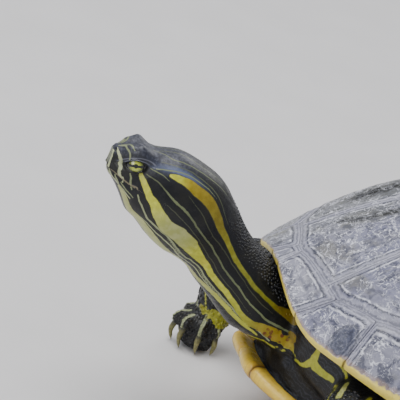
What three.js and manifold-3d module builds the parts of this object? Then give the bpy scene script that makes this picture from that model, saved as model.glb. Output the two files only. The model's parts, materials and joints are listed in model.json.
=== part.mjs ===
// A slider turtle at life size, standing on its four feet with its head raised.
// Units are millimetres. +Z is up, the turtle looks along -Y and its left side is +X.
// The shell is laid out in its own frame: y = 0 is the middle of its length and z = 0 the
// underside of the plastron. A turned group then tips it nose-up. Head, neck, legs and tail
// are laid out in the standing frame, where z = 0 is the ground.
import * as THREE from 'three';
import { mergeVertices } from 'three/addons/utils/BufferGeometryUtils.js';
import Module from 'manifold-3d';

const wasm = await Module();
wasm.setup();

const { lerp, clamp, degToRad } = THREE.MathUtils;
const TURN = 2 * Math.PI;

// ---- Driving dimensions: carapace ----
const HALF_LENGTH = 121;
const HALF_WIDTH = 91;
const REAR_SPREAD = 0.05;       // the rear half is this much wider than the middle
const SHELL_HEIGHT = 106;       // plastron underside to the top of the back
const PLATE_THICKNESS = 4;
const SEAM = 0.4;               // open seam between two plates
const RIM_EDGE = 2.6;           // thickness of the carapace edge
// How the marginals turn in below the edge: the edge's own tuck, how far in, how much higher
// at the inner end, and that end's height.
const FLANGE = { tuck: 0.8, width: 9, slope: 0.4, rise: 2 };
const BODY_PITCH = degToRad(5);
const BODY_LIFT = 13.8;         // height of the shell frame's origin over the ground

// ---- Driving dimensions: plastron ----
const PLASTRON_THICKNESS = 6;
const PLASTRON_FLAT = 50;       // half-width that stays flat before the bridge rises
const BRIDGE_REACH = 81.3;      // half-width of the bridge where it meets the marginals
const BRIDGE_HEIGHT = 27;
const BRIDGE_CURVE = 1.6;       // power of its rise
const LIP_START = 92;           // where the front lobe begins to turn up, ahead of the middle
const LIP_LENGTH = 25;
const LIP_RISE = 3;             // upturn of the front lobe's edge
const LIP_SWELL = 1.6;          // extra thickness of that edge

// ---- Driving dimensions: flesh ----
const TRUNK_INSET = 12.5;       // carapace edge to the trunk's side
const TRUNK_ROUNDING = { top: 0.5, bottom: 0.2, side: 0.45 };    // a lower power leaves a squarer edge
const TRUNK_SIDE_DROP = 5;      // carapace edge down to the trunk's widest ring
const TRUNK_CEILING_DROP = 1.8; // trunk to the carapace over it
const TRUNK_SINK = 1;           // how far its floor dips before the plastron's room is cut out
const COLLAR = { y: -75, z: 8, wide: 42, long: 38, deep: 22 };    // loose skin ahead of the trunk
const FLESH_GAP = 0.35;         // open cut between two pieces
const SNOUT = { y: -192.8, z: 110 };
const HEAD_PITCH = degToRad(11);
const EYE_RADIUS = 4.8;
const EYE = { back: 10.2, out: 5, drop: 2.6 };    // from the snout tip, along, across and below
const CLAW_RADIUS = 1.6;
const CLAW_TIP_RADIUS = 0.45;
const CLAW_BEND = 1;            // how far a claw arches out of the straight
const DIGIT_TAPER = 0.72;       // a digit's end as a part of its width

// ---- Materials ----
const finish = (color, roughness) => new THREE.MeshStandardMaterial({ color, roughness, metalness: 0 });
const CARAPACE = finish(0x8b8d97, 0.45);
const RIM_PLATE = finish(0x9a9684, 0.45);
const PLASTRON_PLATE = finish(0xd9ad4c, 0.4);
const SKIN = finish(0x2b2c2f, 0.6);
const EYE_FINISH = finish(0x8d9a24, 0.1);

// ---- Helpers ----
// Value of a table of [position, value] pairs, eased from one entry to the next.
function eased(table, at) {
  const last = table.length - 1;
  if (at <= table[0][0]) return table[0][1];
  if (at >= table[last][0]) return table[last][1];
  const next = table.findIndex(([position]) => position > at);
  const [p0, v0] = table[next - 1];
  const [p1, v1] = table[next];
  return lerp(v0, v1, (1 - Math.cos(Math.PI * (at - p0) / (p1 - p0))) / 2);
}

// Only the places of the vertices, with shared ones merged.
function bare(geometry, tolerance = 1e-5) {
  const copy = geometry.clone();
  copy.deleteAttribute('normal');
  copy.deleteAttribute('uv');
  return mergeVertices(copy, tolerance);
}

// Moves every vertex of a closed primitive to where place() puts it.
function warp(geometry, place) {
  const warped = bare(geometry);
  const position = warped.attributes.position;
  const point = new THREE.Vector3();
  for (let i = 0; i < position.count; i++) {
    point.fromBufferAttribute(position, i);
    const moved = place(point);
    position.setXYZ(i, moved.x, moved.y, moved.z);
  }
  return facingOut(warped);
}

// Turns a closed geometry's faces round if they point inwards.
function facingOut(geometry) {
  const position = geometry.attributes.position;
  const index = geometry.index.array;
  const [a, b, c] = [new THREE.Vector3(), new THREE.Vector3(), new THREE.Vector3()];
  let volume = 0;
  for (let i = 0; i < index.length; i += 3) {
    a.fromBufferAttribute(position, index[i]);
    b.fromBufferAttribute(position, index[i + 1]);
    c.fromBufferAttribute(position, index[i + 2]);
    volume += a.dot(b.cross(c));
  }
  if (volume > 0) return geometry;
  for (let i = 0; i < index.length; i += 3) [index[i], index[i + 1]] = [index[i + 1], index[i]];
  return geometry;
}

function solidOf(geometry) {
  const merged = bare(geometry, 1e-4);
  const vertProperties = new Float32Array(merged.attributes.position.array);
  const triVerts = new Uint32Array(merged.index.array);
  return new wasm.Manifold(new wasm.Mesh({ numProp: 3, vertProperties, triVerts }));
}

function geometryOf(solid) {
  const mesh = solid.getMesh();
  const geometry = new THREE.BufferGeometry();
  geometry.setAttribute('position', new THREE.BufferAttribute(mesh.vertProperties, 3));
  geometry.setIndex(new THREE.BufferAttribute(mesh.triVerts, 1));
  return geometry;
}

const joined = (geometries) => geometries.map(solidOf).reduce((whole, piece) => whole.add(piece));
const largest = (solid) => solid.decompose().sort((a, b) => b.volume() - a.volume())[0];

// ---- Carapace surface ----
// The plan angle runs from the nuchal (0) over the left side to the tail (PI).
const SQUARENESS = [[0, 2.5], [Math.PI, 2.2]];
const RIM_HEIGHTS = [[0, 52.5], [0.45, 41], [0.95, 36], [1.5, 30], [2.35, 37], [Math.PI, 32]];
const MIDDLE_POWER = [[0.1, 1.85], [0.62, 2.6], [1.4, 2.4], [Math.PI, 2.3]];
const EDGE_POWER = [[0.1, 1.06], [0.62, 0.95], [1.4, 0.6], [2.2, 0.72], [Math.PI, 0.85]];

const spread = (y) => 1 + REAR_SPREAD * y / HALF_LENGTH;
const rimHeight = (angle) => eased(RIM_HEIGHTS, Math.abs(angle));

function rimRadius(angle, inset = 0) {
  const power = eased(SQUARENESS, Math.abs(angle));
  const across = Math.abs(Math.sin(angle)) / (HALF_WIDTH - inset);
  const along = Math.abs(Math.cos(angle)) / (HALF_LENGTH - inset);
  return (across ** power + along ** power) ** (-1 / power);
}

function planPoint(angle, radius) {
  const y = -radius * Math.cos(angle);
  return new THREE.Vector2(radius * Math.sin(angle) * spread(y), y);
}

function planAngle(x, y) {
  return Math.atan2(Math.abs(x) / spread(y), -y);
}

// Height of the dome over a plan point. An inset gives the inner face.
function domeHeight(x, y, inset = 0) {
  const angle = planAngle(x, y);
  const fraction = clamp(Math.hypot(x / spread(y), y) / rimRadius(angle, inset), 0, 1);
  const low = rimHeight(angle);
  const rise = (1 - fraction ** eased(MIDDLE_POWER, angle)) ** eased(EDGE_POWER, angle);
  return low + (SHELL_HEIGHT - inset - low) * rise;
}

const outerDome = (x, y) => domeHeight(x, y);
const innerDome = (x, y) => domeHeight(x, y, PLATE_THICKNESS);

// ---- Plastron surface ----
const lipPart = (y) => Math.max(0, (-y - LIP_START) / LIP_LENGTH) ** 2;

function plastronUnderside(x, y) {
  const bridge = Math.max(0, (Math.abs(x) / spread(y) - PLASTRON_FLAT) / (BRIDGE_REACH - PLASTRON_FLAT));
  return BRIDGE_HEIGHT * bridge ** BRIDGE_CURVE + LIP_RISE * lipPart(y);
}

const plastronTop = (x, y) => plastronUnderside(x, y) + PLASTRON_THICKNESS + LIP_SWELL * lipPart(y);

// The whole plastron as one slab, finely divided over the two rising bridges. A lift and a
// depth thicken it above and below.
function plastronSlab(lift = 0, depth = 0) {
  const flatPart = 0.4;
  const reach = BRIDGE_REACH + 3;
  return warp(new THREE.BoxGeometry(2, 1, 1, 10, 12, 1), ({ x, y, z }) => {
    const out = Math.abs(x);
    const across = out < flatPart
      ? PLASTRON_FLAT * out / flatPart
      : lerp(PLASTRON_FLAT, reach, (out - flatPart) / (1 - flatPart));
    const along = HALF_LENGTH * 2 * y;
    const wide = Math.sign(x) * across * spread(along);
    const height = z > 0 ? plastronTop(wide, along) + lift : plastronUnderside(wide, along) - depth;
    return new THREE.Vector3(wide, along, height);
  });
}

// One scute, cut from the slab along its outline.
function plastronScute(slab, outline) {
  const shape = new THREE.Shape(insetOutline(outline, SEAM / 2));
  const room = 2 * BRIDGE_HEIGHT + 4 * PLASTRON_THICKNESS;
  const cutter = new THREE.ExtrudeGeometry(shape, { depth: room, bevelEnabled: false }).translate(0, 0, -PLASTRON_THICKNESS);
  return geometryOf(slab.intersect(solidOf(cutter)));
}

// ---- Plates with a polygon outline ----
// Shifts each edge of a counter-clockwise outline inwards.
function insetOutline(outline, distance) {
  const edges = outline.map((from, i) => {
    const direction = outline[(i + 1) % outline.length].clone().sub(from).normalize();
    const inward = new THREE.Vector2(-direction.y, direction.x);
    return { from: from.clone().addScaledVector(inward, distance), direction };
  });
  return edges.map((edge, i) => {
    const before = edges[(i + edges.length - 1) % edges.length];
    const turn = before.direction.cross(edge.direction);
    if (Math.abs(turn) < 0.02) return edge.from;
    const reach = edge.from.clone().sub(before.from).cross(edge.direction) / turn;
    return before.from.clone().addScaledVector(before.direction, reach);
  });
}

const PLATE_STEP = 17;          // longest straight piece of a carapace plate's edge

// Splits the longer edges, so that a plate follows the curve of the shell.
function refineOutline(outline, longest) {
  return outline.flatMap((from, i) => {
    const to = outline[(i + 1) % outline.length];
    const pieces = Math.max(1, Math.round(from.distanceTo(to) / longest));
    return Array.from({ length: pieces }, (_, k) => from.clone().lerp(to, k / pieces));
  });
}

// A plate between two surfaces: a lathed disc whose edge is drawn out to the outline.
function plate(outline, upper, lower) {
  const edge = insetOutline(refineOutline(outline, PLATE_STEP), SEAM / 2);
  const centre = edge.reduce((sum, point) => sum.add(point), new THREE.Vector2()).divideScalar(edge.length);
  const profile = [[0, 0], [1, 0], [1, 1], [0.6, 1], [0, 1]].map(([r, level]) => new THREE.Vector2(r, level));
  return warp(new THREE.LatheGeometry(profile, edge.length), (point) => {
    const step = Math.round(Math.atan2(point.x, point.z) / TURN * edge.length);
    const corner = edge[(step + edge.length) % edge.length];
    const { x, y } = centre.clone().lerp(corner, Math.hypot(point.x, point.z));
    return new THREE.Vector3(x, y, point.y > 0.5 ? upper(x, y) : lower(x, y));
  });
}

const mirrored = (outline) => outline.map(({ x, y }) => new THREE.Vector2(-x, y)).reverse();
const bothSides = (left) => [...mirrored(left), ...left];
const outlineOf = (...pairs) => pairs.map(([x, y]) => new THREE.Vector2(x, y));

// ---- Scute layout of the carapace ----
// Marginal seams: their plan angles at the edge and where they meet the inner plates.
const EDGE_SEAMS = [0.045, 0.285, 0.543, 0.80, 1.06, 1.31, 1.55, 1.79, 2.03, 2.28, 2.55, 2.84, Math.PI];
const INNER_SEAMS = [0.025, 0.33, 0.52, 0.77, 1.03, 1.29, 1.54, 1.79, 2.05, 2.33, 2.61, 2.90, Math.PI];
const MARGINAL_WIDTHS = [[0, 8.5], [0.33, 12], [0.6, 12.5], [1.4, 8.5], [1.9, 9.5], [2.6, 17], [Math.PI, 18]];
// Vertebrals, from front to back: [y, half-width] of their seams and of their widest points.
const VERTEBRAL_SEAMS = outlineOf([19.5, -60], [21, -13], [20, 36], [14, 80]);
const VERTEBRAL_CORNERS = outlineOf([27, -38], [28, 11], [26, 58]);

function innerSeam(i) {
  const angle = INNER_SEAMS[i];
  return planPoint(angle, rimRadius(angle) - eased(MARGINAL_WIDTHS, angle));
}

const innerSeams = (from, to) => Array.from({ length: to - from + 1 }, (_, k) => innerSeam(from + k));
const between = (i, part) => innerSeam(i).lerp(innerSeam(i + 1), part);
const FIRST_CORNER = between(0, 0.74);   // where the first vertebral, costal and marginal meet
const COSTAL_FEET = [between(4, 0.55), between(6, 0.5), between(8, 0.5), between(10, 0.6)];

function vertebralOutline(i) {
  const seams = VERTEBRAL_SEAMS;
  if (i === 0) return bothSides([innerSeam(0), FIRST_CORNER, seams[0]]);
  if (i === 4) return [...bothSides([seams[3], COSTAL_FEET[3], innerSeam(11)]), innerSeam(12)];
  return bothSides([seams[i - 1], VERTEBRAL_CORNERS[i - 1], seams[i]]);
}

function costalOutline(i) {
  const [seam, corner] = [VERTEBRAL_SEAMS[i], VERTEBRAL_CORNERS[i]];
  if (i === 0) return [FIRST_CORNER, ...innerSeams(1, 4), COSTAL_FEET[0], corner, seam];
  const start = [VERTEBRAL_CORNERS[i - 1], COSTAL_FEET[i - 1]];
  if (i === 3) return [...start, ...innerSeams(9, 10), COSTAL_FEET[3], seam];
  return [...start, ...innerSeams(2 * i + 3, 2 * i + 4), COSTAL_FEET[i], corner, seam];
}

// A rim plate: a box bent along the edge, its underside turned in as a flange.
function marginal(edgeAngles, innerEnds) {
  const [from, to] = edgeAngles;
  const trim = SEAM / 2 / HALF_LENGTH;
  const edgeAngle = (u) => lerp(from + trim, to - trim, u);
  const inner = (u) => {
    const length = innerEnds[0].distanceTo(innerEnds[1]);
    const onSeam = innerEnds[0].clone().lerp(innerEnds[1], lerp(SEAM / 2 / length, 1 - SEAM / 2 / length, u));
    const across = innerEnds[1].clone().sub(innerEnds[0]).normalize();
    return onSeam.add(new THREE.Vector2(across.y, -across.x).multiplyScalar(SEAM / 2));
  };
  const outside = (u, v) => {
    const angle = edgeAngle(u);
    const { x, y } = planPoint(angle, rimRadius(angle)).lerp(inner(u), v);
    return new THREE.Vector3(x, y, v === 0 ? rimHeight(angle) : domeHeight(x, y));
  };
  const inside = (u, v) => {
    const angle = edgeAngle(u);
    const edge = planPoint(angle, rimRadius(angle));
    const inward = inner(u).sub(edge).normalize();
    const flange = (width, rise) => {
      const { x, y } = edge.clone().addScaledVector(inward, width);
      return new THREE.Vector3(x, y, rimHeight(angle) - RIM_EDGE + rise);
    };
    if (v < 0.2) return flange(FLANGE.tuck, 0);
    if (v < 0.5) return flange(FLANGE.width - 1, FLANGE.slope);
    if (v < 0.8) return flange(FLANGE.width, RIM_EDGE + FLANGE.rise);
    const { x, y } = inner(u);
    return new THREE.Vector3(x, y, innerDome(x, y));
  };
  return warp(new THREE.BoxGeometry(1, 1, 1, 3, 3, 1), ({ x, y, z }) => {
    const [u, v] = [x + 0.5, Math.round((y + 0.5) * 3) / 3];
    return z > 0 ? outside(u, v) : inside(u, v);
  });
}

// ---- Scute layout of the plastron: left outlines, counter-clockwise ----
const PLASTRON_SCUTES = {
  gular: outlineOf([0, -119.3], [10.5, -119.8], [17, -117.6], [0, -96]),
  humeral: outlineOf([17, -117.6], [27, -109.5], [36, -98], [0, -80], [0, -96]),
  pectoral: outlineOf([36, -98], [44, -84], [47.5, -66], [52, -57], [78, -46], [81, -24], [0, -40], [0, -80]),
  abdominal: outlineOf([0, -40], [81, -24], [81.3, 26], [0, 14]),
  femoral: outlineOf([0, 14], [81.3, 26], [79, 41], [54, 51], [49, 60], [46, 76], [0, 60]),
  anal: outlineOf([0, 60], [46, 76], [38, 94], [27, 106], [12, 108], [0, 98]),
};

// ---- Trunk ----
// Fills the shell up to the dome. A margin swells it for cutting its neighbours.
function trunkFlesh(margin = 0) {
  const barrel = warp(new THREE.SphereGeometry(1, 28, 8), ({ x, y, z }) => {
    const angle = Math.atan2(x, z);
    const part = Math.hypot(x, z) ** (y > 0 ? TRUNK_ROUNDING.top : TRUNK_ROUNDING.bottom);
    const plan = planPoint(angle, rimRadius(angle, TRUNK_INSET - margin) * part);
    const middle = rimHeight(angle) - TRUNK_SIDE_DROP;
    const end = y >= 0
      ? innerDome(plan.x, plan.y) - TRUNK_CEILING_DROP + margin
      : plastronTop(plan.x, plan.y) - TRUNK_SINK - margin;
    return new THREE.Vector3(plan.x, plan.y, lerp(middle, end, Math.abs(y) ** TRUNK_ROUNDING.side));
  });
  const collar = new THREE.SphereGeometry(1, 16, 8).rotateX(Math.PI / 2)
    .scale(COLLAR.wide + margin, COLLAR.long + margin, COLLAR.deep + margin).translate(0, COLLAR.y, COLLAR.z);
  return joined([barrel, collar]);
}

// The trunk itself rests over the plastron.
function trunk() {
  const room = solidOf(plastronSlab(FLESH_GAP, 2 * COLLAR.deep));
  return geometryOf(largest(trunkFlesh().subtract(room))).applyMatrix4(bodyMatrix());
}

const aroundTrunk = () => solidOf(geometryOf(trunkFlesh(FLESH_GAP)).applyMatrix4(bodyMatrix()));

function bodyMatrix() {
  const tilt = new THREE.Matrix4().makeRotationX(-BODY_PITCH);
  return new THREE.Matrix4().makeTranslation(0, 0, BODY_LIFT).multiply(tilt);
}

// ---- Head and neck ----
// Sections of the face: back from the snout tip, half-width, top and bottom over the tip's
// level, and the section's lean in degrees.
const FACE_SECTIONS = [
  [0.8, 2.6, -0.6, -8.6, -2], [1.9, 5, 0.9, -10.4, 1], [4.4, 7.1, 2.6, -12.6, 5], [8, 9, 4.8, -15.4, 9],
  [11.5, 10.5, 5.2, -18.2, 12], [16, 12.8, 5.5, -22, 15],
];
// Sections from the crown to the neck's root: y, z, pitch in degrees, half-width and half-depth.
const NECK_SECTIONS = [
  [-171.1, 97.4, 24, 15.2, 16.4], [-162.3, 92.5, 30, 17, 18.2], [-154.9, 87.9, 32, 17, 18.4],
  [-148.2, 82.8, 37, 15.2, 16.3], [-142.5, 77.4, 43, 14, 14.5], [-137.4, 72, 45, 13.8, 14.3],
  [-130.9, 66.6, 43, 14.4, 14.5], [-119, 56, 44, 16, 14.5], [-103, 44.7, 43, 18, 13.4],
];

// A point of the head's own frame: back from the snout tip, out from the midline, up.
function headPoint(back, out, up) {
  const [cos, sin] = [Math.cos(HEAD_PITCH), Math.sin(HEAD_PITCH)];
  return new THREE.Vector3(out, SNOUT.y + back * cos + up * sin, SNOUT.z - back * sin + up * cos);
}

const headAndNeck = [
  ...FACE_SECTIONS.map(([back, wide, top, bottom, lean]) => (
    { centre: headPoint(back, 0, (top + bottom) / 2), shape: [wide, (top - bottom) / 2, degToRad(lean)] })),
  ...NECK_SECTIONS.map(([y, z, pitch, wide, deep]) => (
    { centre: new THREE.Vector3(0, y, z), shape: [wide, deep, degToRad(pitch)] })),
];
const sectionCount = headAndNeck.length - 1;
const centreCurve = new THREE.CatmullRomCurve3(headAndNeck.map(({ centre }) => centre), false, 'catmullrom');
const shapes = headAndNeck.map(({ shape }) => new THREE.Vector3(...shape));
const shapeCurve = new THREE.CatmullRomCurve3(shapes, false, 'catmullrom');

const BROW_SECTION = 3.4;       // section number of the highest point of the brows
const BROW_SWELL = 0.3;

// Flesh between two section numbers, rounder below and a little flatter on top.
function neckPiece(from, to, steps) {
  const sides = 18;
  const fullness = 2 / 2.25;
  return warp(new THREE.CylinderGeometry(1, 1, 1, sides, steps), ({ x, y, z }) => {
    const at = lerp(from, to, y + 0.5);
    const centre = centreCurve.getPoint(at / sectionCount);
    const [wide, deep, pitch] = shapeCurve.getPoint(at / sectionCount).toArray();
    const across = Math.sign(x) * Math.abs(x) ** fullness;
    const up = Math.sign(z) * Math.abs(z) ** fullness;
    const brow = browRise(at, across, up);
    const out = wide * across * (1 - 0.1 * Math.max(0, up)) * (1 + brow);
    const height = deep * up * (1 + brow);
    return new THREE.Vector3(out, centre.y + height * Math.sin(pitch), centre.z + height * Math.cos(pitch));
  });
}

// The brow over each eye swells by a part of the head's size.
function browRise(at, across, up) {
  const along = Math.exp(-(((at - BROW_SECTION) / 0.9) ** 2));
  const around = Math.exp(-(((up - 0.8) / 0.25) ** 2)) * Math.min(1, Math.abs(across) * 2);
  return BROW_SWELL * along * around;
}

const HEAD_END = 9.4;           // section number where the head is parted from the neck
const HEAD_CUT = 0.06;          // width of that cut, in sections

function eyeCentre(side) {
  return headPoint(EYE.back, side * EYE.out, -EYE.drop);
}

function eyeball(side, radius) {
  const { x, y, z } = eyeCentre(side);
  return new THREE.SphereGeometry(radius, 10, 7).rotateZ(Math.PI / 2).translate(x, y, z);
}

function head() {
  const whole = solidOf(neckPiece(0, HEAD_END, 13));
  return geometryOf([1, -1].reduce((rest, side) => (
    rest.subtract(solidOf(eyeball(side, EYE_RADIUS + FLESH_GAP)))), whole));
}

function neck() {
  const whole = solidOf(neckPiece(HEAD_END + HEAD_CUT, sectionCount, 8));
  return geometryOf(largest(whole.subtract(aroundTrunk())));
}

// ---- Limbs ----
// A round bar along a smooth curve, its radius eased along it.
function tube(path, radii, sides, steps) {
  const curve = new THREE.CatmullRomCurve3(path, false, 'centripetal');
  const reference = new THREE.Vector3(0.3, 0.2, 1).normalize();
  return warp(new THREE.CylinderGeometry(1, 1, 1, sides, steps), ({ x, y, z }) => {
    const at = y + 0.5;
    const centre = curve.getPoint(at);
    const tangent = curve.getTangent(at);
    const across = tangent.clone().cross(reference).normalize();
    const up = across.clone().cross(tangent);
    const radius = eased(radii, at);
    return centre.addScaledVector(across, x * radius).addScaledVector(up, z * radius);
  });
}

// A place in a foot's frame: out along a digit's heading, at a height over the ground.
// Headings are measured from straight ahead towards the body's outer side.
function footPoint(foot, heading, out, height) {
  const angle = degToRad(foot.yaw + heading);
  const { x, y } = foot;
  return new THREE.Vector3(x + foot.side * out * Math.sin(angle), y - out * Math.cos(angle), height);
}

function digit(foot, heading, { root, knuckle, tip, radius, claw }) {
  const at = ([out, height]) => footPoint(foot, heading, out, height);
  const toe = tube([at(root), at(knuckle), at(tip)], [[0, radius], [0.6, radius], [1, radius * DIGIT_TAPER]], 6, 2);
  if (!claw) return [toe];
  const bend = [(tip[0] + claw[0]) / 2 + CLAW_BEND, (tip[1] + claw[1]) / 2 + CLAW_BEND];
  const start = [lerp(knuckle[0], tip[0], 0.6), lerp(knuckle[1], tip[1], 0.6)];
  const nail = tube([at(start), at(bend), at(claw)], [[0, CLAW_RADIUS], [1, CLAW_TIP_RADIUS]], 5, 3);
  return [toe, nail];
}

// The part of a solid over the ground, which gives every sole its small flat.
function overGround(solid) {
  const room = 600;
  const space = new THREE.BoxGeometry(room, room, room).translate(0, 0, room / 2);
  return solid.intersect(solidOf(space));
}

function leg(pieces) {
  return geometryOf(largest(overGround(joined(pieces)).subtract(aroundTrunk())));
}

// Half-widths of the legs from the trunk (0) down to the foot (1).
const FORELEG_RADII = [[0, 13], [0.35, 11.5], [0.62, 9.6], [0.85, 8.4], [1, 8]];
const HINDLEG_RADII = [[0, 13], [0.4, 12.4], [0.7, 10.5], [1, 8.2]];
const SOLE_DROP = 1.2;          // how far a sole's round underside is cut off by the ground
const PALM = { radius: 8, height: 7.6, heading: 5, ahead: 3.4 };
// Digits of a forefoot, inner one first: heading, reach of the claw and height of the knuckle.
const FORE_DIGITS = [[-105, 7.6, 12.6], [-58, 9.8, 13], [-22, 12.8, 13.6], [8, 14.2, 12.6], [42, 12, 14.4]];

function foreleg({ side, foot, path }) {
  const shoulder = path.map(([x, y, z]) => new THREE.Vector3(side * x, y, z));
  const wrist = footPoint(foot, 0, -1.5, 12);
  const arm = tube([...shoulder, wrist], FORELEG_RADII, 10, 7);
  const under = footPoint(foot, PALM.heading, PALM.ahead, PALM.height - SOLE_DROP);
  const palm = new THREE.SphereGeometry(1, 10, 6).rotateX(Math.PI / 2).scale(PALM.radius, PALM.radius, PALM.height)
    .translate(...under);
  const digits = FORE_DIGITS.flatMap(([heading, reach, height]) => digit(foot, heading, {
    root: [3, 13], knuckle: [reach - 0.8, height], tip: [reach + 0.6, height - 4.6], radius: 2.9, claw: [reach, 0.3],
  }));
  return leg([arm, palm, ...digits]);
}

function hindleg({ side, foot, path }) {
  const hip = path.map(([x, y, z]) => new THREE.Vector3(side * x, y, z));
  const ankle = footPoint(foot, 0, -9, 9);
  const shank = tube([...hip, ankle], HINDLEG_RADII, 10, 7);
  const turn = Math.PI / 2 + side * degToRad(foot.yaw);
  const sole = new THREE.SphereGeometry(1, 12, 6).rotateX(Math.PI / 2).scale(16, 10.5, 5)
    .rotateZ(turn).translate(foot.x, foot.y, 5 - SOLE_DROP);
  const headings = [-30, -10, 10, 30, 52];
  const digits = headings.flatMap((heading, i) => digit(foot, heading, {
    root: [4, 5.5], knuckle: [14 - 0.6 * Math.abs(i - 1), 6], tip: [19.5 - Math.abs(i - 1), 3.6],
    radius: 3, claw: i < 4 ? [27.5 - 1.2 * Math.abs(i - 1), 0.3] : null,
  }));
  return leg([shank, sole, ...digits]);
}

const LIMBS = {
  foreleg_left: () => foreleg({
    side: 1, foot: { side: 1, x: 84, y: -99, yaw: 12 }, path: [[40, -72, 42], [57, -86, 43], [77, -98, 38], [82, -100, 24]],
  }),
  foreleg_right: () => foreleg({
    side: -1, foot: { side: -1, x: -61, y: -113.5, yaw: 0 }, path: [[40, -72, 42], [53, -88, 45], [65, -107, 40], [63, -113, 25]],
  }),
  hindleg_left: () => hindleg({
    side: 1, foot: { side: 1, x: 94, y: 76, yaw: 35 }, path: [[40, 76, 27], [62, 72, 27], [82, 66, 26], [88, 78, 16]],
  }),
  hindleg_right: () => hindleg({
    side: -1, foot: { side: -1, x: -92, y: 86, yaw: 40 }, path: [[40, 76, 27], [62, 74, 27], [82, 72, 26], [86, 86, 16]],
  }),
};

function tail() {
  const path = outlineOf([0, 88], [0.5, 104], [4, 119], [12, 132], [22, 140]);
  const heights = [22, 20.5, 15, 9, 5];
  const spine = path.map(({ x, y }, i) => new THREE.Vector3(x, y, heights[i]));
  const bar = tube(spine, [[0, 8.5], [0.3, 7.4], [0.75, 3.6], [1, 1.2]], 10, 8);
  return geometryOf(largest(solidOf(bar).subtract(aroundTrunk())));
}

// ---- Assembly ----
function part(name, geometry, material) {
  const mesh = new THREE.Mesh(geometry, material.clone());
  mesh.name = name;
  return mesh;
}

function carapace() {
  const edges = (i) => [EDGE_SEAMS[i], EDGE_SEAMS[i + 1]];
  const inners = (i) => [innerSeam(i), innerSeam(i + 1)];
  const nuchalEnds = [innerSeam(0).setX(-innerSeam(0).x), innerSeam(0)];
  const plates = [part('nuchal', marginal([-EDGE_SEAMS[0], EDGE_SEAMS[0]], nuchalEnds), RIM_PLATE)];
  for (let i = 0; i < 5; i++) {
    plates.push(part(`vertebral_${i + 1}`, plate(vertebralOutline(i), outerDome, innerDome), CARAPACE));
  }
  for (const [side, sign] of [['left', 1], ['right', -1]]) {
    for (let i = 0; i < 4; i++) {
      const outline = sign > 0 ? costalOutline(i) : mirrored(costalOutline(i));
      plates.push(part(`costal_${side}_${i + 1}`, plate(outline, outerDome, innerDome), CARAPACE));
    }
    for (let i = 0; i < 12; i++) {
      const geometry = facingOut(marginal(edges(i), inners(i)).scale(sign, 1, 1));
      plates.push(part(`marginal_${side}_${i + 1}`, geometry, RIM_PLATE));
    }
  }
  return plates;
}

function plastron() {
  const slab = solidOf(plastronSlab());
  const widened = (outline) => outline.map(({ x, y }) => new THREE.Vector2(x * spread(y), y));
  return Object.entries(PLASTRON_SCUTES).flatMap(([name, outline]) => (
    [['left', widened(outline)], ['right', mirrored(widened(outline))]].map(([side, shape]) => (
      part(`${name}_${side}`, plastronScute(slab, shape), PLASTRON_PLATE)))));
}

const shell = new THREE.Group();
shell.rotation.x = -BODY_PITCH;
shell.position.z = BODY_LIFT;
shell.add(...carapace(), ...plastron());

const flesh = new THREE.Group();
flesh.add(
  part('trunk', trunk(), SKIN),
  part('neck', neck(), SKIN),
  part('head', head(), SKIN),
  part('eye_left', eyeball(1, EYE_RADIUS), EYE_FINISH),
  part('eye_right', eyeball(-1, EYE_RADIUS), EYE_FINISH),
  ...Object.entries(LIMBS).map(([name, make]) => part(name, make(), SKIN)),
  part('tail', tail(), SKIN),
);

// The origin is on the ground, under the middle of the whole turtle.
const turtle = new THREE.Group();
turtle.add(shell, flesh);
turtle.updateMatrixWorld(true);
const middle = new THREE.Box3().setFromObject(turtle, true).getCenter(new THREE.Vector3());
turtle.position.set(-middle.x, -middle.y, 0);

export default turtle;
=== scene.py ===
# %% [markdown]
# # A slider turtle, dressed piece by piece
#
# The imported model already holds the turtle's solids: shell plates, flesh, eyes. This
# notebook gives them their fine surface. Every piece is laid out in millimetres in the
# standing frame, where z = 0 is the ground and the turtle looks along -Y, and is brought
# to metres and to the frame's own origin only when it is finished.

# %% Load the frame
import itertools
import json
import math

import bmesh
import bpy
import numpy as np
from mathutils import Matrix, Vector
from mathutils.bvhtree import BVHTree
from mathutils.kdtree import KDTree

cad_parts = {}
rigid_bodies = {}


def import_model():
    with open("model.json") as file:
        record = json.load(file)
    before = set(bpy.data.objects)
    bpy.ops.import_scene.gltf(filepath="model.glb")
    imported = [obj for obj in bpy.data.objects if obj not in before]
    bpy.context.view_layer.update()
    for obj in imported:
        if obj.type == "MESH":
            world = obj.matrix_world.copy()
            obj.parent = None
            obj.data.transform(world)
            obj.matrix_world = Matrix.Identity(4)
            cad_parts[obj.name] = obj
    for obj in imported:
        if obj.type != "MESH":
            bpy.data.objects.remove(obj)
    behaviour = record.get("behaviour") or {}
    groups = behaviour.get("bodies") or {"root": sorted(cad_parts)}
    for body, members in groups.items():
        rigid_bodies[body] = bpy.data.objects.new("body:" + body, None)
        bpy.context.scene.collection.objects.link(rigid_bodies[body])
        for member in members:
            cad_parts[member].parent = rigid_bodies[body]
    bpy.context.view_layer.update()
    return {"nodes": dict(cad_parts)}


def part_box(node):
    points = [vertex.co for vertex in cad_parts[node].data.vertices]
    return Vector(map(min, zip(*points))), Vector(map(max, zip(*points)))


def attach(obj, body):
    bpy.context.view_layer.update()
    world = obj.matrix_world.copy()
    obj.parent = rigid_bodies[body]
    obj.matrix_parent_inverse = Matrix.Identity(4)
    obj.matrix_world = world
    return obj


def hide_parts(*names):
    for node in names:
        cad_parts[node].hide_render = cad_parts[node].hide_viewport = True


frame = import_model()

rng = np.random.default_rng(7)
print("solids loaded:", len(frame["nodes"]))

# %% [markdown]
# ## The sizes that everything shares
#
# A turtle's shell is a dome over an oval plan, and all its plates lie on that dome. If the
# same few numbers drive every plate, the plates meet by themselves. The shell has a frame of
# its own, tipped nose-up by five degrees; the neck, legs and tail use the standing frame.

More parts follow.
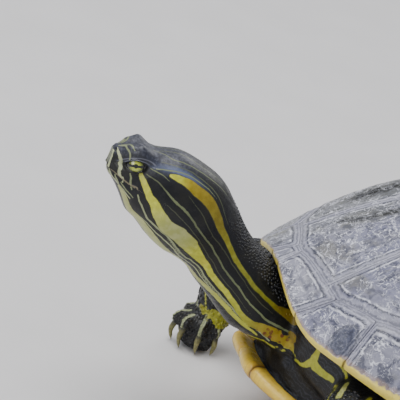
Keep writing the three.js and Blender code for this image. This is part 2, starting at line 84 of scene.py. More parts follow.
# %% Sizes in millimetres
MM = 0.001
HALF_LENGTH, HALF_WIDTH, REAR_SPREAD = 121.0, 91.0, 0.05
SHELL_HEIGHT, PLATE_THICKNESS = 106.0, 4.0
RIM_EDGE, FLANGE_WIDTH = 2.6, 9.0
BODY_PITCH, BODY_LIFT = math.radians(5), 13.8
PLASTRON_THICKNESS, PLASTRON_FLAT, BRIDGE_REACH, BRIDGE_HEIGHT = 6.0, 50.0, 81.3, 27.0
LIP_START, LIP_LENGTH, LIP_RISE, LIP_SWELL = 92.0, 25.0, 3.0, 1.6
SNOUT_Y, SNOUT_Z, HEAD_PITCH = -192.8, 110.0, math.radians(11)
EYE_BACK, EYE_OUT, EYE_DROP, EYE_RADIUS = 10.2, 5.0, 2.6, 4.8

# %% Curves through a few values
def eased(table, at):
    """Value of a table of (position, value) pairs, eased from one entry to the next."""
    at = np.asarray(at, float)
    value = np.where(at <= table[0][0], table[0][1], table[-1][1]).astype(float)
    for (p0, v0), (p1, v1) in zip(table[:-1], table[1:]):
        part = (1 - np.cos(np.pi * np.clip((at - p0) / (p1 - p0), 0, 1))) / 2
        value = np.where((at > p0) & (at <= p1), v0 + (v1 - v0) * part, value)
    return value


def step(at, low, high):
    """Smooth rise from 0 at low to 1 at high."""
    t = np.clip((np.asarray(at, float) - low) / (high - low), 0, 1)
    return t * t * (3 - 2 * t)


def spline(points, t, centripetal=False):
    """Catmull-Rom curve through the rows of points, at t from 0 to 1."""
    p = np.asarray(points, float)
    p = np.vstack([2 * p[0] - p[1], p, 2 * p[-1] - p[-2]])
    place = np.clip(np.asarray(t, float), 0, 1) * (len(p) - 3)
    i = np.minimum(place.astype(int), len(p) - 4)
    w = (place - i)[..., None]
    a, b, c, d = p[i], p[i + 1], p[i + 2], p[i + 3]
    if centripetal:
        g0, g1, g2 = (np.sqrt(np.linalg.norm(v, axis=-1))[..., None] for v in (b - a, c - b, d - c))
        m0 = ((b - a) / g0 - (c - a) / (g0 + g1) + (c - b) / g1) * g1
        m1 = ((c - b) / g1 - (d - b) / (g1 + g2) + (d - c) / g2) * g1
    else:
        m0, m1 = (c - a) / 2, (d - b) / 2
    return b + m0 * w + (3 * (c - b) - 2 * m0 - m1) * w ** 2 + (2 * (b - c) + m0 + m1) * w ** 3


def unit(v):
    v = np.asarray(v, float)
    return v / np.maximum(np.linalg.norm(v, axis=-1, keepdims=True), 1e-9)


def ripple(points, size, seed=0.0):
    """Smooth wandering value of about -1 to 1, with features of the given size."""
    p = np.asarray(points, float) / size
    total = np.zeros(p.shape[:-1])
    for k, weight in enumerate((0.5, 0.3, 0.2)):
        turn = seed + 1.7 * k
        q = p * (1.0 + 0.83 * k)
        total += weight * np.sin(q[..., 0] * 3.1 + np.sin(q[..., 1] * 2.3 + turn) * 1.4 + turn)
        total += weight * np.sin(q[..., 1] * 2.7 + np.sin(q[..., -1] * 2.9 + turn * 2) * 1.4 - turn)
    return total / 1.6

# %% [markdown]
# ## From a flat grid to a piece
#
# Nearly every surface here starts as one flat grid whose two directions are then given a
# meaning: along and around a neck, or across a plate. Moving the points of an operator's
# grid keeps clean rows of faces, which plain subdivision or sculpting wouldn't.

# %% Grid and piece helpers
def grid(columns, rows):
    bm = bmesh.new()
    bmesh.ops.create_grid(bm, x_segments=columns, y_segments=rows, size=0.5)
    return bm


def places(bm):
    return np.array([v.co for v in bm.verts])


def move_to(bm, coordinates):
    for vert, co in zip(bm.verts, coordinates):
        vert.co = co


def shaped(columns, rows, place):
    """A grid whose u and v, both from 0 to 1, are sent to place(u, v)."""
    bm = grid(columns, rows)
    flat = places(bm)
    move_to(bm, place(flat[:, 0] + 0.5, flat[:, 1] + 0.5))
    return bm


WELD = 1e-3        # points nearer than this are one


def faced(bm):
    """Turns all the faces outwards."""
    bmesh.ops.recalc_face_normals(bm, faces=bm.faces)
    return bm


def filled(bm):
    """Closes the open ends."""
    bmesh.ops.holes_fill(bm, edges=[e for e in bm.edges if e.is_boundary], sides=0)
    return faced(bm)


def welded(bm, near=WELD):
    bmesh.ops.remove_doubles(bm, verts=bm.verts, dist=near)
    return bm


def closed_tube(columns, rows, place):
    """As shaped, but v runs once round and meets itself, and both ends are filled."""
    return filled(welded(shaped(columns, rows, place)))


def unit_ball(columns, rows, radius=1):
    bm = bmesh.new()
    bmesh.ops.create_uvsphere(bm, u_segments=columns, v_segments=rows, radius=radius)
    return bm


def joined(parts):
    """One bmesh out of several, which are used up."""
    together = bmesh.new()
    for bm in parts:
        part = bpy.data.meshes.new("part")
        bm.to_mesh(part)
        bm.free()
        together.from_mesh(part)
        bpy.data.meshes.remove(part)
    return together


def linked(name, data):
    """A new object in the scene."""
    obj = bpy.data.objects.new(name, data)
    bpy.context.scene.collection.objects.link(obj)
    return obj


def find_tree(points, numbers=None):
    """A tree that finds the nearest of many points, numbered in order or as given."""
    tree = KDTree(len(points))
    for k, p in zip(range(len(points)) if numbers is None else numbers, points):
        tree.insert(p, int(k))
    tree.balance()
    return tree


def nearest_number(tree, points):
    return np.array([tree.find(Vector(p))[1] for p in points])


def nearest_with_distance(tree, points):
    found = np.array([tree.find(Vector(p))[1:] for p in points])
    return found[:, 0].astype(int), found[:, 1]


def length_of(points):
    """Length run through at each point of a line."""
    return np.concatenate([[0], np.cumsum(np.linalg.norm(np.diff(points, axis=0), axis=1))])


def bell(value, middle, width):
    """1 at the middle, falling smoothly to nothing about two widths away."""
    return np.exp(-((value - middle) / width) ** 2)


def lifted(xy, axis=0):
    """Points of a plan with a third value, so that a ripple can run over them."""
    return np.column_stack([xy, xy[:, axis]])


def vectors(points):
    """The rows of a list as arrays."""
    return [np.array(p, float) for p in points]


def head_frame_point(back, out, up):
    cos, sin = math.cos(HEAD_PITCH), math.sin(HEAD_PITCH)
    return np.stack([out, SNOUT_Y + back * cos + up * sin, SNOUT_Z - back * sin + up * cos], -1)


eye_low, eye_high = (np.array(c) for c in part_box("eye_left"))
SHIFT = (eye_low + eye_high) / 2 - head_frame_point(EYE_BACK, EYE_OUT, -EYE_DROP) * MM
print("the standing frame's origin lies at", SHIFT.round(5))


def from_body(points):
    """From the shell's own frame to the standing frame."""
    x, y, z = np.asarray(points, float).T
    cos, sin = math.cos(BODY_PITCH), math.sin(BODY_PITCH)
    return np.stack([x, cos * y + sin * z, cos * z - sin * y + BODY_LIFT], -1)


def to_body(points):
    x, y, z = np.asarray(points, float).T
    cos, sin = math.cos(BODY_PITCH), math.sin(BODY_PITCH)
    z = z - BODY_LIFT
    return np.stack([x, cos * y - sin * z, sin * y + cos * z], -1)


def attribute(mesh, name, values):
    mesh.attributes.new(name, "FLOAT",
                        "POINT").data.foreach_set("value", np.asarray(values, np.float32))


made = []


def piece(bm, name, material, nodes=(), slot=None, smooth=True, **fields):
    """Brings a bmesh in millimetres to the frame and makes it an object of the turtle."""
    mesh = bpy.data.meshes.new(name)
    if bm is not None:
        coordinates = places(bm)
        move_to(bm, coordinates * MM + SHIFT)
        bm.to_mesh(mesh)
        bm.free()
    for key, values in fields.items():
        attribute(mesh, key, values)
    mesh.polygons.foreach_set("use_smooth", [smooth] * len(mesh.polygons))
    obj = linked(name, mesh)
    mesh.materials.append(material)
    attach(obj, "root")
    if nodes:
        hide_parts(*nodes)
    made.append(obj)
    return obj

# %% [markdown]
# ## Materials from nodes
#
# Each finish is a small network on one Principled shader. A helper that adds a node and
# wires its inputs in one line keeps the networks short enough to read.

# %% Node helpers
class Finish:
    def __init__(self, name, **constants):
        self.material = bpy.data.materials.new(name)
        self.material.use_nodes = True
        self.tree = self.material.node_tree
        self.shader = next(n for n in self.tree.nodes if n.type == "BSDF_PRINCIPLED")
        for socket, value in constants.items():
            self.shader.inputs[socket.replace("_", " ")].default_value = value
        self.object_place = self.tree.nodes.new("ShaderNodeTexCoord").outputs["Object"]

    def put(self, socket, value):
        if isinstance(value, bpy.types.NodeSocket):
            self.tree.links.new(value, socket)
        elif isinstance(value, (tuple, list)) and len(value) == 3 and socket.type == "RGBA":
            socket.default_value = (*value, 1)
        else:
            socket.default_value = value

    def node(self, kind, out=0, **settings):
        made = self.tree.nodes.new("ShaderNode" + kind)
        inputs = settings.pop("inputs", {})
        for key, value in settings.items():
            setattr(made, key, value)
        for key, value in inputs.items():
            self.put(made.inputs[key], value)
        return made.outputs[out]

    def math(self, operation, a, b=0.0, c=0.0):
        return self.node("Math", operation=operation, inputs={0: a, 1: b, 2: c})

    def times(self, a, b):
        return self.math("MULTIPLY", a, b)

    def plus(self, a, b):
        return self.math("ADD", a, b)

    def minus(self, a, b):
        return self.math("SUBTRACT", a, b)

    def most(self, a, b):
        return self.math("MAXIMUM", a, b)

    def sine(self, a):
        return self.math("SINE", a)

    def size(self, a):
        return self.math("ABSOLUTE", a)

    def apart(self, a, b):
        return self.size(self.minus(a, b))

    def remap(self, value, low, high, new_low=0.0, new_high=1.0, smooth=True):
        return self.node("MapRange", interpolation_type="SMOOTHSTEP" if smooth else "LINEAR",
                         inputs={0: value, 1: low, 2: high, 3: new_low, 4: new_high})

    def mix(self, factor, a, b, blend="MIX"):
        made = self.tree.nodes.new("ShaderNodeMix")
        made.data_type, made.blend_type = "RGBA", blend
        self.put(made.inputs[0], factor)
        self.put(made.inputs[6], a)
        self.put(made.inputs[7], b)
        return made.outputs[2]

    def noise(self, size_mm, detail=3.0, vector=None, distortion=0.0, roughness=0.5):
        return self.node("TexNoise",
                         inputs={"Vector": vector or self.object_place, "Scale": 1000 / size_mm,
                                             "Detail": detail, "Distortion": distortion,
                                             "Roughness": roughness})

    def cells(self, size_mm, feature="F1", vector=None, randomness=1.0):
        return self.node("TexVoronoi", feature=feature, inputs={
            "Vector": vector or self.object_place, "Scale": 1000 / size_mm,
            "Randomness": randomness})

    def stretched(self, scale, turn=(0, 0, 0)):
        return self.node("Mapping",
                         inputs={"Vector": self.object_place, "Scale": scale, "Rotation": turn})

    def warped(self, size_mm, amount_mm, vector=None):
        """Object coordinates pushed about by a noise, for lines that wander."""
        source = vector or self.object_place
        push = self.node("TexNoise", out=1,
                         inputs={"Vector": source, "Scale": 1000 / size_mm, "Detail": 2.0})
        centred = self.node("VectorMath", operation="SUBTRACT",
                            inputs={0: push, 1: (0.5, 0.5, 0.5)})
        scaled = self.node("VectorMath", operation="SCALE",
                           inputs={0: centred, "Scale": amount_mm * MM * 2})
        return self.node("VectorMath", operation="ADD", inputs={0: source, 1: scaled})

    def field(self, name):
        return self.node("Attribute", out=2, attribute_name=name)

    def bump(self, height, depth_mm, strength=1.0, under=None):
        settings = {"Height": height, "Distance": depth_mm * MM, "Strength": strength}
        if under is not None:
            settings["Normal"] = under
        return self.node("Bump", inputs=settings)

    def done(self, **sockets):
        for socket, value in sockets.items():
            self.put(self.shader.inputs[socket.replace("_", " ")], value)
        return self.material

# %% [markdown]
# ## The camera comes first
#
# The view is set before anything is made, so that every piece can be judged in it
# from the start. The camera looks down at the turtle's left front, and is rolled a little,
# as a camera held in the hand is.

# %% Camera
CAMERA_AZIMUTH, CAMERA_ELEVATION, CAMERA_ROLL = (math.radians(a) for a in (72.89, 22.08, -17.06))
LOOK_AT, CAMERA_DISTANCE = Vector((-68.1, -131.8, 65.0)), 1000.0
LENS, SENSOR_WIDTH, CLIP = 211.7, 36, (0.05, 20)

sin_a, cos_a = math.sin(CAMERA_AZIMUTH), math.cos(CAMERA_AZIMUTH)
sin_e, cos_e = math.sin(CAMERA_ELEVATION), math.cos(CAMERA_ELEVATION)
level_right = Vector((cos_a, sin_a, 0))
level_up = Vector((-sin_a * sin_e, cos_a * sin_e, cos_e))
backwards = Vector((sin_a * cos_e, -cos_a * cos_e, sin_e))
right = level_right * math.cos(CAMERA_ROLL) - level_up * math.sin(CAMERA_ROLL)
up = level_right * math.sin(CAMERA_ROLL) + level_up * math.cos(CAMERA_ROLL)
camera = linked("camera", bpy.data.cameras.new("camera"))
camera.data.lens, camera.data.sensor_width = LENS, SENSOR_WIDTH
camera.data.sensor_fit = "HORIZONTAL"
camera.data.clip_start, camera.data.clip_end = CLIP
place = (LOOK_AT + backwards * CAMERA_DISTANCE) * MM + Vector(SHIFT)
turned_to = Matrix((right, up, backwards)).transposed().to_4x4()
camera.matrix_world = Matrix.Translation(place) @ turned_to
bpy.context.scene.camera = camera
print("camera at", tuple(round(c, 3) for c in place))

# %% [markdown]
# ## The floor and the light
#
# A broad lamp overhead and a pale surround give soft shadows and long soft highlights, which
# is what a wet-looking skin and a worn shell need. Hard lamps would hide the skin's folds.

# %% Floor and lamps
# Name, place, the point it aims at, breadth and power.
LAMPS = [("overhead", (-0.15, -0.35, 1.3), (0, -0.05, 0.05), 1.0, 17),
         ("front_left", (0.9, -1.1, 0.8), (0, -0.05, 0.06), 0.8, 7),
         ("behind", (-1.0, 0.7, 0.9), (0, 0, 0.06), 0.9, 6)]
SURROUND_COLOUR, SURROUND_STRENGTH = (0.86, 0.88, 0.92, 1), 0.55
FLOOR_SIZE, FLOOR_COLOURS = 12, ((0.61, 0.60, 0.605), (0.67, 0.66, 0.665))


def lamp(name, place, aim, size, power):
    light = bpy.data.lights.new(name, "AREA")
    light.shape, light.size, light.energy = "DISK", size, power
    obj = linked(name, light)
    obj.location = place
    obj.rotation_euler = (Vector(aim) - Vector(place)).to_track_quat("-Z", "Y").to_euler()


for values in LAMPS:
    lamp(*values)
world = bpy.data.worlds.new("studio")
world.use_nodes = True
surround = world.node_tree.nodes["Background"].inputs
surround["Color"].default_value = SURROUND_COLOUR
surround["Strength"].default_value = SURROUND_STRENGTH
bpy.context.scene.world = world

floor_finish = Finish("pale floor", Roughness=0.9)
floor_finish.done(Base_Color=floor_finish.mix(floor_finish.noise(40, 4.0), *FLOOR_COLOURS))
floor_bm = grid(8, 8)
bmesh.ops.scale(floor_bm, vec=(FLOOR_SIZE, FLOOR_SIZE, 1), verts=floor_bm.verts)
floor_mesh = bpy.data.meshes.new("floor")
floor_bm.to_mesh(floor_mesh)
floor_bm.free()
floor = linked("floor", floor_mesh)
floor_mesh.materials.append(floor_finish.material)

# %% [markdown]
# ## The shell's dome
#
# The carapace is not a sphere: its plan is a squared oval, its edge rises at the nape and
# over the legs, and the slope from back to edge changes all the way round. Each of these is
# a table of a few values over the plan angle, from the nape (0) round to the tail (pi).

# %% Dome surface in the shell's own frame
SQUARENESS = [(0, 2.5), (math.pi, 2.2)]
RIM_HEIGHTS = [(0, 52.5), (0.45, 41), (0.95, 36), (1.5, 30), (2.35, 37), (math.pi, 32)]
MIDDLE_POWER = [(0.1, 1.85), (0.62, 2.6), (1.4, 2.4), (math.pi, 2.3)]
EDGE_POWER = [(0.1, 1.06), (0.62, 0.95), (1.4, 0.6), (2.2, 0.72), (math.pi, 0.85)]


def spread(y):
    return 1 + REAR_SPREAD * y / HALF_LENGTH


def rim_radius(angle, inset=0.0):
    power = eased(SQUARENESS, np.abs(angle))
    across = np.abs(np.sin(angle)) / (HALF_WIDTH - inset)
    along = np.abs(np.cos(angle)) / (HALF_LENGTH - inset)
    return (across ** power + along ** power) ** (-1 / power)


def plan_point(angle, radius):
    y = -radius * np.cos(angle)
    return np.stack([radius * np.sin(angle) * spread(y), y], -1)


def dome(x, y, inset=0.0):
    angle = np.arctan2(np.abs(x) / spread(y), -y)
    fraction = np.clip(np.hypot(x / spread(y), y) / rim_radius(angle, inset), 0, 1)
    low = eased(RIM_HEIGHTS, angle)
    rise = (1 - fraction ** eased(MIDDLE_POWER, angle)) ** eased(EDGE_POWER, angle)
    return low + (SHELL_HEIGHT - inset - low) * rise


def dome_normal(x, y, reach=0.25):
    inner = 1 - 1.5 * reach / 100
    x, y = x * inner, y * inner
    slope_x = (dome(x + reach, y) - dome(x - reach, y)) / (2 * reach)
    slope_y = (dome(x, y + reach) - dome(x, y - reach)) / (2 * reach)
    return unit(np.stack([-slope_x, -slope_y, np.ones_like(x)], -1))

# %% [markdown]
# ## Where the seams run
#
# A slider wears thirteen large scutes on its back and twenty-five small ones round the rim.
# The inner ends of the rim's seams are shared by both kinds, so they are worked out once.

# %% Scute outlines
EDGE_SEAMS = [0.045, 0.285, 0.543, 0.80, 1.06, 1.31, 1.55, 1.79, 2.03, 2.28, 2.55, 2.84, math.pi]
INNER_SEAMS = [0.025, 0.33, 0.52, 0.77, 1.03, 1.29, 1.54, 1.79, 2.05, 2.33, 2.61, 2.90, math.pi]
MARGINAL_WIDTHS = [(0, 8.5), (0.33, 12), (0.6, 12.5), (1.4, 8.5), (1.9, 9.5), (2.6, 17),
                   (math.pi, 18)]
VERTEBRAL_SEAMS = np.array([(19.5, -60), (21, -13), (20, 36), (14, 80)])
VERTEBRAL_CORNERS = np.array([(27, -38), (28, 11), (26, 58)])

inner_seam = [plan_point(a, rim_radius(a) - eased(MARGINAL_WIDTHS,
                                                  a)) for a in np.array(INNER_SEAMS)]


def between(i, part):
    return inner_seam[i] * (1 - part) + inner_seam[i + 1] * part


FIRST_CORNER = between(0, 0.74)
COSTAL_FEET = [between(4, 0.55), between(6, 0.5), between(8, 0.5), between(10, 0.6)]


def mirrored(outline):
    return [np.array((-p[0], p[1])) for p in reversed(outline)]


def vertebral_outline(i):
    if i == 0:
        left = [inner_seam[0], FIRST_CORNER, VERTEBRAL_SEAMS[0]]
    elif i == 4:
        left = [VERTEBRAL_SEAMS[3], COSTAL_FEET[3], inner_seam[11]]
    else:
        left = [VERTEBRAL_SEAMS[i - 1], VERTEBRAL_CORNERS[i - 1], VERTEBRAL_SEAMS[i]]
    return mirrored(left) + left + ([inner_seam[12]] if i == 4 else [])


def costal_outline(i):
    if i == 0:
        return [FIRST_CORNER, *inner_seam[1:5], COSTAL_FEET[0], VERTEBRAL_CORNERS[0],
                VERTEBRAL_SEAMS[0]]
    start = [VERTEBRAL_CORNERS[i - 1], COSTAL_FEET[i - 1]]
    if i == 3:
        return start + [inner_seam[9], inner_seam[10], COSTAL_FEET[3], VERTEBRAL_SEAMS[3]]
    return start + [*inner_seam[2 * i + 3:2 * i + 5], COSTAL_FEET[i], VERTEBRAL_CORNERS[i],
                    VERTEBRAL_SEAMS[i]]

# %% [markdown]
# ## Horn grows in rings
#
# A scute grows outwards from an old centre, the areola, and each season leaves a ring of the
# scute's own outline. So each scute is made of rings that shrink towards that centre: the
# mesh then runs the way the horn does, and a ring or a gutter needs no extra faces.

# %% Ringed plates
def outline_samples(outline, spacing):
    """Points round an outline, with every corner kept."""
    points = []
    for a, b in zip(outline, np.roll(outline, -1, 0)):
        count = max(2, round(np.linalg.norm(b - a) / spacing))
        points.append(a + (b - a) * np.arange(count)[:, None] / count)
    return np.vstack(points)


def seam_distance(points, outline, closed=True):
    """Distance from points to the nearest edge of an outline."""
    best = np.full(len(points), 1e9)
    ends = np.roll(outline, -1, 0) if closed else outline[1:]
    for a, b in zip(outline, ends):
        along = np.clip(((points - a) @ (b - a)) / ((b - a) @ (b - a)), 0, 1)
        best = np.minimum(best, np.linalg.norm(points - a - along[:, None] * (b - a), axis=1))
    return best


def shrunk(outline, gap):
    """The outline with each corner drawn in, so that a seam stays open."""
    before, after = np.roll(outline, 1, 0), np.roll(outline, -1, 0)
    inward = unit(np.stack([-(outline - before)[:, 1], (outline - before)[:, 0]], -1))
    next_inward = unit(np.stack([-(after - outline)[:, 1], (after - outline)[:, 0]], -1))
    turn = unit(inward + next_inward)
    return outline + turn * (gap / np.maximum(np.sum(turn * inward, 1), 0.5))[:, None]


def ringed_plate(outline, centre, spacing, rows_above, rows_below, place):
    """Closed plate: rings run out over its top, round its edge and back underneath.

    place(xy, level) gives the points, for level 1 above and 0 below.
    """
    loop = outline_samples(outline, spacing)
    fractions = np.concatenate([rows_above, rows_below])
    levels = np.repeat((1.0, 0.0), (len(rows_above), len(rows_below)))
    bm = grid(len(loop), len(fractions) - 1)
    flat = places(bm)
    u = np.round((flat[:, 0] + 0.5) * len(loop)).astype(int) % len(loop)
    v = np.round((flat[:, 1] + 0.5) * (len(fractions) - 1)).astype(int)
    xy = centre + (loop[u] - centre) * fractions[v][:, None]
    move_to(bm, place(xy, levels[v]))
    return faced(welded(bm))


EDGE_STEPS = np.array([0, 0.35, 0.75, 1.2, 1.7, 2.3, 3.0, 3.8])
BACK_SPACING, INNER_FACE_ROWS = 0.9, (0.7, 0.35, 0.0)


def ring_rows(size, spacing, steps=EDGE_STEPS, fewest=3):
    """Ring fractions from the centre outwards, closer together near the edge."""
    near = 1 - steps[::-1] / size
    inner = np.linspace(0, near[0], max(fewest, int(near[0] * size / spacing)), endpoint=False)
    return np.concatenate([inner, near])

# %% Relief of the worn horn
SEAM_GAP = 0.08
GUTTER_DEPTH, GUTTER_WIDTH, GUTTER_FLOOR = 0.62, 1.9, 0.25
LIP_HEIGHT, CREASE_DEPTH, RING_HEIGHT, WEAR, PIT_DEPTH, SWELL = 0.22, 0.16, 0.13, 0.13, 0.1, 0.2


def horn_relief(edge, xy, seed):
    """Height of the horn: a gutter along the seam, a lip beside it, then faint growth rings."""
    wobble = ripple(lifted(xy), 9, seed)
    width = GUTTER_WIDTH * (1 + 0.25 * wobble)
    gutter = -GUTTER_DEPTH * (1 - step(edge, GUTTER_FLOOR, width))
    lip = LIP_HEIGHT * bell(edge - width, 0.5, 0.6)
    crease = -CREASE_DEPTH * bell(edge, 0.62 * width, 0.22)
    rings = RING_HEIGHT * np.sin(edge * 2.3 + wobble * 1.6
                                 + seed) * step(edge, 3, 5) * (1 - step(edge, 11, 19))
    worn = WEAR * ripple(lifted(xy, 1), 3.2, seed + 4) * step(edge, 1, 4)
    pits = -PIT_DEPTH * step(ripple(lifted(xy), 1.5, seed + 8), 0.45, 0.8) * step(edge, 1, 3)
    return gutter + lip + crease + rings + worn + pits + SWELL * wobble * step(edge, 4, 12)

# %% [markdown]
# ## The finish of horn
#
# Old carapace horn is grey with a blue-violet cast where it has dried, olive where algae
# stained it, and crossed by fine pale squiggles where flakes lifted and by scratches. Contour
# lines of a smooth noise make such squiggles: they wander, close on themselves and break off.

# %% Horn finish
# Stains beside the keel: places along each in the shell's plan, and its half-width in mm.
KEEL_STAINS = [([(-13, -94), (-10, -89), (-9, -83), (-8, -74)], 4.2),
               ([(-35, -82), (-34, -74), (-33, -66), (-31, -56)], 6.5)]
# The ringed dent of an old injury on a marginal: its middle in plan and its reach in mm.
DENT_X, DENT_Y, DENT_REACH, DENT_DEPTH, DENT_BRIM = 51.9, -101.9, 3.9, 1.0, 0.25


def stained(plan):
    """1 in the middle of a stain and 0 beyond its edge."""
    worst = np.zeros(len(plan))
    for line, width in KEEL_STAINS:
        worst = np.maximum(worst, step(seam_distance(plan, np.array(line, float), closed=False),
                                       width, width * 0.35))
    return worst


def squiggles(f, size, width, seed_shift, warp=None):
    place = f.node("VectorMath", operation="ADD",
                   inputs={0: warp or f.object_place, 1: (seed_shift, 0, 0)})
    line = f.apart(f.noise(size, 2.5, place, 0.6), 0.5)
    return f.remap(line, 0, width, 1, 0)


# Colours of the horn; a pair is mixed by a noise.
SLATE = ((0.165, 0.168, 0.255), (0.275, 0.275, 0.345))
OLIVE = (0.12, 0.115, 0.075)
MOTTLE = (0.05, 0.053, 0.09)
REAR_GREY = (0.13, 0.135, 0.105)
STAIN_BROWN = (0.07, 0.072, 0.055)
STAIN_BLACK = (0.012, 0.012, 0.01)
RING_GREY = (0.1, 0.105, 0.15)
SEAM_PALE = (0.38, 0.38, 0.47)
CREASE_DARK = (0.035, 0.038, 0.065)
SEAM_DARK = (0.06, 0.06, 0.085)
SCRATCH_PALE = (0.82, 0.83, 0.92)
DENT_GREY = (0.062, 0.07, 0.118)
DENT_RING = (0.022, 0.025, 0.045)
FLECK_GREY = (0.42, 0.42, 0.45)
RIM_YELLOWS = ((0.84, 0.64, 0.08), (0.90, 0.75, 0.17))
RIM_PINK = (0.45, 0.3, 0.22)
RIM_BLOTCH = (0.035, 0.03, 0.022)
RIM_SEAM = (0.1, 0.06, 0.025)


def horn(name, rim=False):
    f = Finish(name, Roughness=0.42, Specular_IOR_Level=0.45, Coat_Weight=0.12, Coat_Roughness=0.3)
    edge, keel, stain = f.field("edge"), f.field("keel"), f.field("stain")
    cloud, mottle = f.noise(26, 4.0), f.noise(4.5, 5.0, distortion=0.8)
    base = f.mix(f.remap(cloud, 0.38, 0.66), *SLATE)
    olive = f.remap(f.noise(15, 5.0, distortion=0.5), 0.47, 0.66)
    base = f.mix(f.times(olive, 0.62), base, OLIVE)
    base = f.mix(f.remap(mottle, 0.47, 0.62, 0, 0.85), base, MOTTLE)
    far = f.remap(f.node("SeparateXYZ", inputs={0: f.object_place}), 0.012, -0.03)
    base = f.mix(f.times(far, 0.55), base, REAR_GREY)
    dark = f.times(f.remap(f.noise(11, 3.0, distortion=1.2), 0.38, 0.5), keel)
    dark = f.most(dark, f.times(f.remap(f.noise(5, 4.0, distortion=0.8), 0.36, 0.5), stain))
    base = f.mix(f.times(stain, 0.5), base, STAIN_BROWN)
    base = f.mix(dark, base, STAIN_BLACK)
    ringed = f.sine(f.math("MULTIPLY_ADD", edge, 2.3, f.times(cloud, 9)))
    ring_part = f.times(f.remap(edge, 2.5, 5), f.remap(edge, 22, 10))
    base = f.mix(f.times(f.remap(ringed, 0.1, 1, 0, 0.35), ring_part), base, RING_GREY)
    wavering = f.plus(edge, f.times(f.minus(f.noise(3, 3.0), 0.5), 1.3))
    base = f.mix(f.remap(wavering, 2.2, 1.5, 0, 0.8), base, SEAM_PALE)
    for away, strength in ((1.0, 0.6), (2.5, 0.95)):
        crease = f.remap(f.apart(wavering, away), 0.1, 0.48, strength, 0)
        base = f.mix(crease, base, CREASE_DARK)
    base = f.mix(f.remap(edge, 0.32, 0.08, 0, 0.65), base, SEAM_DARK)
    rough_place = f.warped(6, 1.8)
    lines = f.most(squiggles(f, 5.5, 0.016, 0.0, rough_place), squiggles(f, 3.2, 0.016, 0.31))
    lines = f.most(lines, f.times(squiggles(f, 9, 0.012, 0.77, rough_place), 0.8))
    streaks = f.node("TexNoise",
                     inputs={"Vector": f.stretched((300, 1500, 900), (0.3, 0.2, 0.7)), "Scale": 1.0,
                                         "Detail": 3.0})
    lines = f.most(lines, f.times(f.remap(streaks, 0.66, 0.7), 0.5))
    breaks = f.times(f.remap(f.noise(8, 3.0), 0.34, 0.5), f.remap(f.noise(1.6, 2.0), 0.34, 0.5))
    lip_line = f.remap(f.apart(wavering, 3.2), 0.1, 0.5, 1, 0)
    lip_line = f.times(lip_line, f.remap(f.noise(4, 3.0), 0.38, 0.6, 0, 0.8))
    breaks = f.times(breaks, f.remap(edge, 1.8, 4.0, 0.5, 1.0))
    scratched = f.most(f.times(lines, breaks), lip_line)
    scratched = f.times(scratched, f.minus(1, f.times(dark, 0.6)))
    base = f.mix(f.times(scratched, 0.95), base, SCRATCH_PALE)
    dent = f.times(f.field("dent"), f.remap(f.noise(2.5, 3.0), 0.3, 0.7, 0.75, 1.2))
    base = f.mix(f.remap(dent, 0.1, 0.45, 0, 0.85), base, DENT_GREY)
    for level in (0.22, 0.5, 0.82):
        ring = f.remap(f.apart(dent, level), 0.03, 0.1, 0.6, 0)
        base = f.mix(ring, base, DENT_RING)
    flecks = f.remap(f.noise(0.9, 2.0), 0.66, 0.74)
    base = f.mix(f.times(flecks, 0.35), base, FLECK_GREY)
    height = f.plus(f.times(lines, 0.35), f.times(f.noise(1.3, 4.0), 0.8))
    height = f.plus(height, f.times(mottle, 0.9))
    normal = f.bump(height, 0.28, 0.8)
    rough = f.remap(f.noise(7, 4.0), 0.35, 0.7, 0.3, 0.52)
    rough = f.plus(rough, f.times(scratched, 0.15))
    if rim:
        under = f.field("under")
        rearward = f.node("SeparateXYZ", out=1, inputs={0: f.object_place})
        ragged = f.plus(under, f.math("MULTIPLY_ADD", f.noise(2.2, 3.0), 1.5,
                                      f.remap(rearward, -0.095, -0.045, -1.15, 0.0)))
        yellow = f.mix(f.noise(6, 3.0), *RIM_YELLOWS)
        pink = f.remap(f.size(ragged), 0.1, 1.1, 0.45, 0)
        base = f.mix(pink, base, RIM_PINK)
        seam = f.field("seam")
        blotch = f.times(f.remap(f.plus(seam, f.times(f.noise(5, 3.0), 4)), 8.5, 6.0),
                        f.times(f.remap(under, 2.4, 4), f.remap(under, 12, 10.5)))
        ring = f.times(blotch, f.minus(1, f.times(0.7, f.remap(seam, 3.2, 2.4))))
        yellow = f.mix(f.times(ring, 0.9), yellow, RIM_BLOTCH)
        yellow = f.mix(f.times(f.remap(seam, 0.8, 0.2), 0.7), yellow, RIM_SEAM)
        base = f.mix(f.remap(ragged, -0.12, 0.25), base, yellow)
    return f.done(Base_Color=base, Normal=normal, Roughness=rough)


horn_finish, rim_finish = horn("carapace horn"), horn("rim horn", rim=True)

# %% [markdown]
# ## The large scutes
#
# Vertebrals run down the back and costals lie beside them. Their areola sits towards the
# back and the midline, as it does on a slider, so the rings are wider at the front.

# %% Vertebral and costal scutes
SEAM_WANDER, KEEL_HEIGHT, KEEL_GROOVE, KEEL_WIDTH, KEEL_SHADE_WIDTH = 0.55, 0.9, 0.6, 6, 13


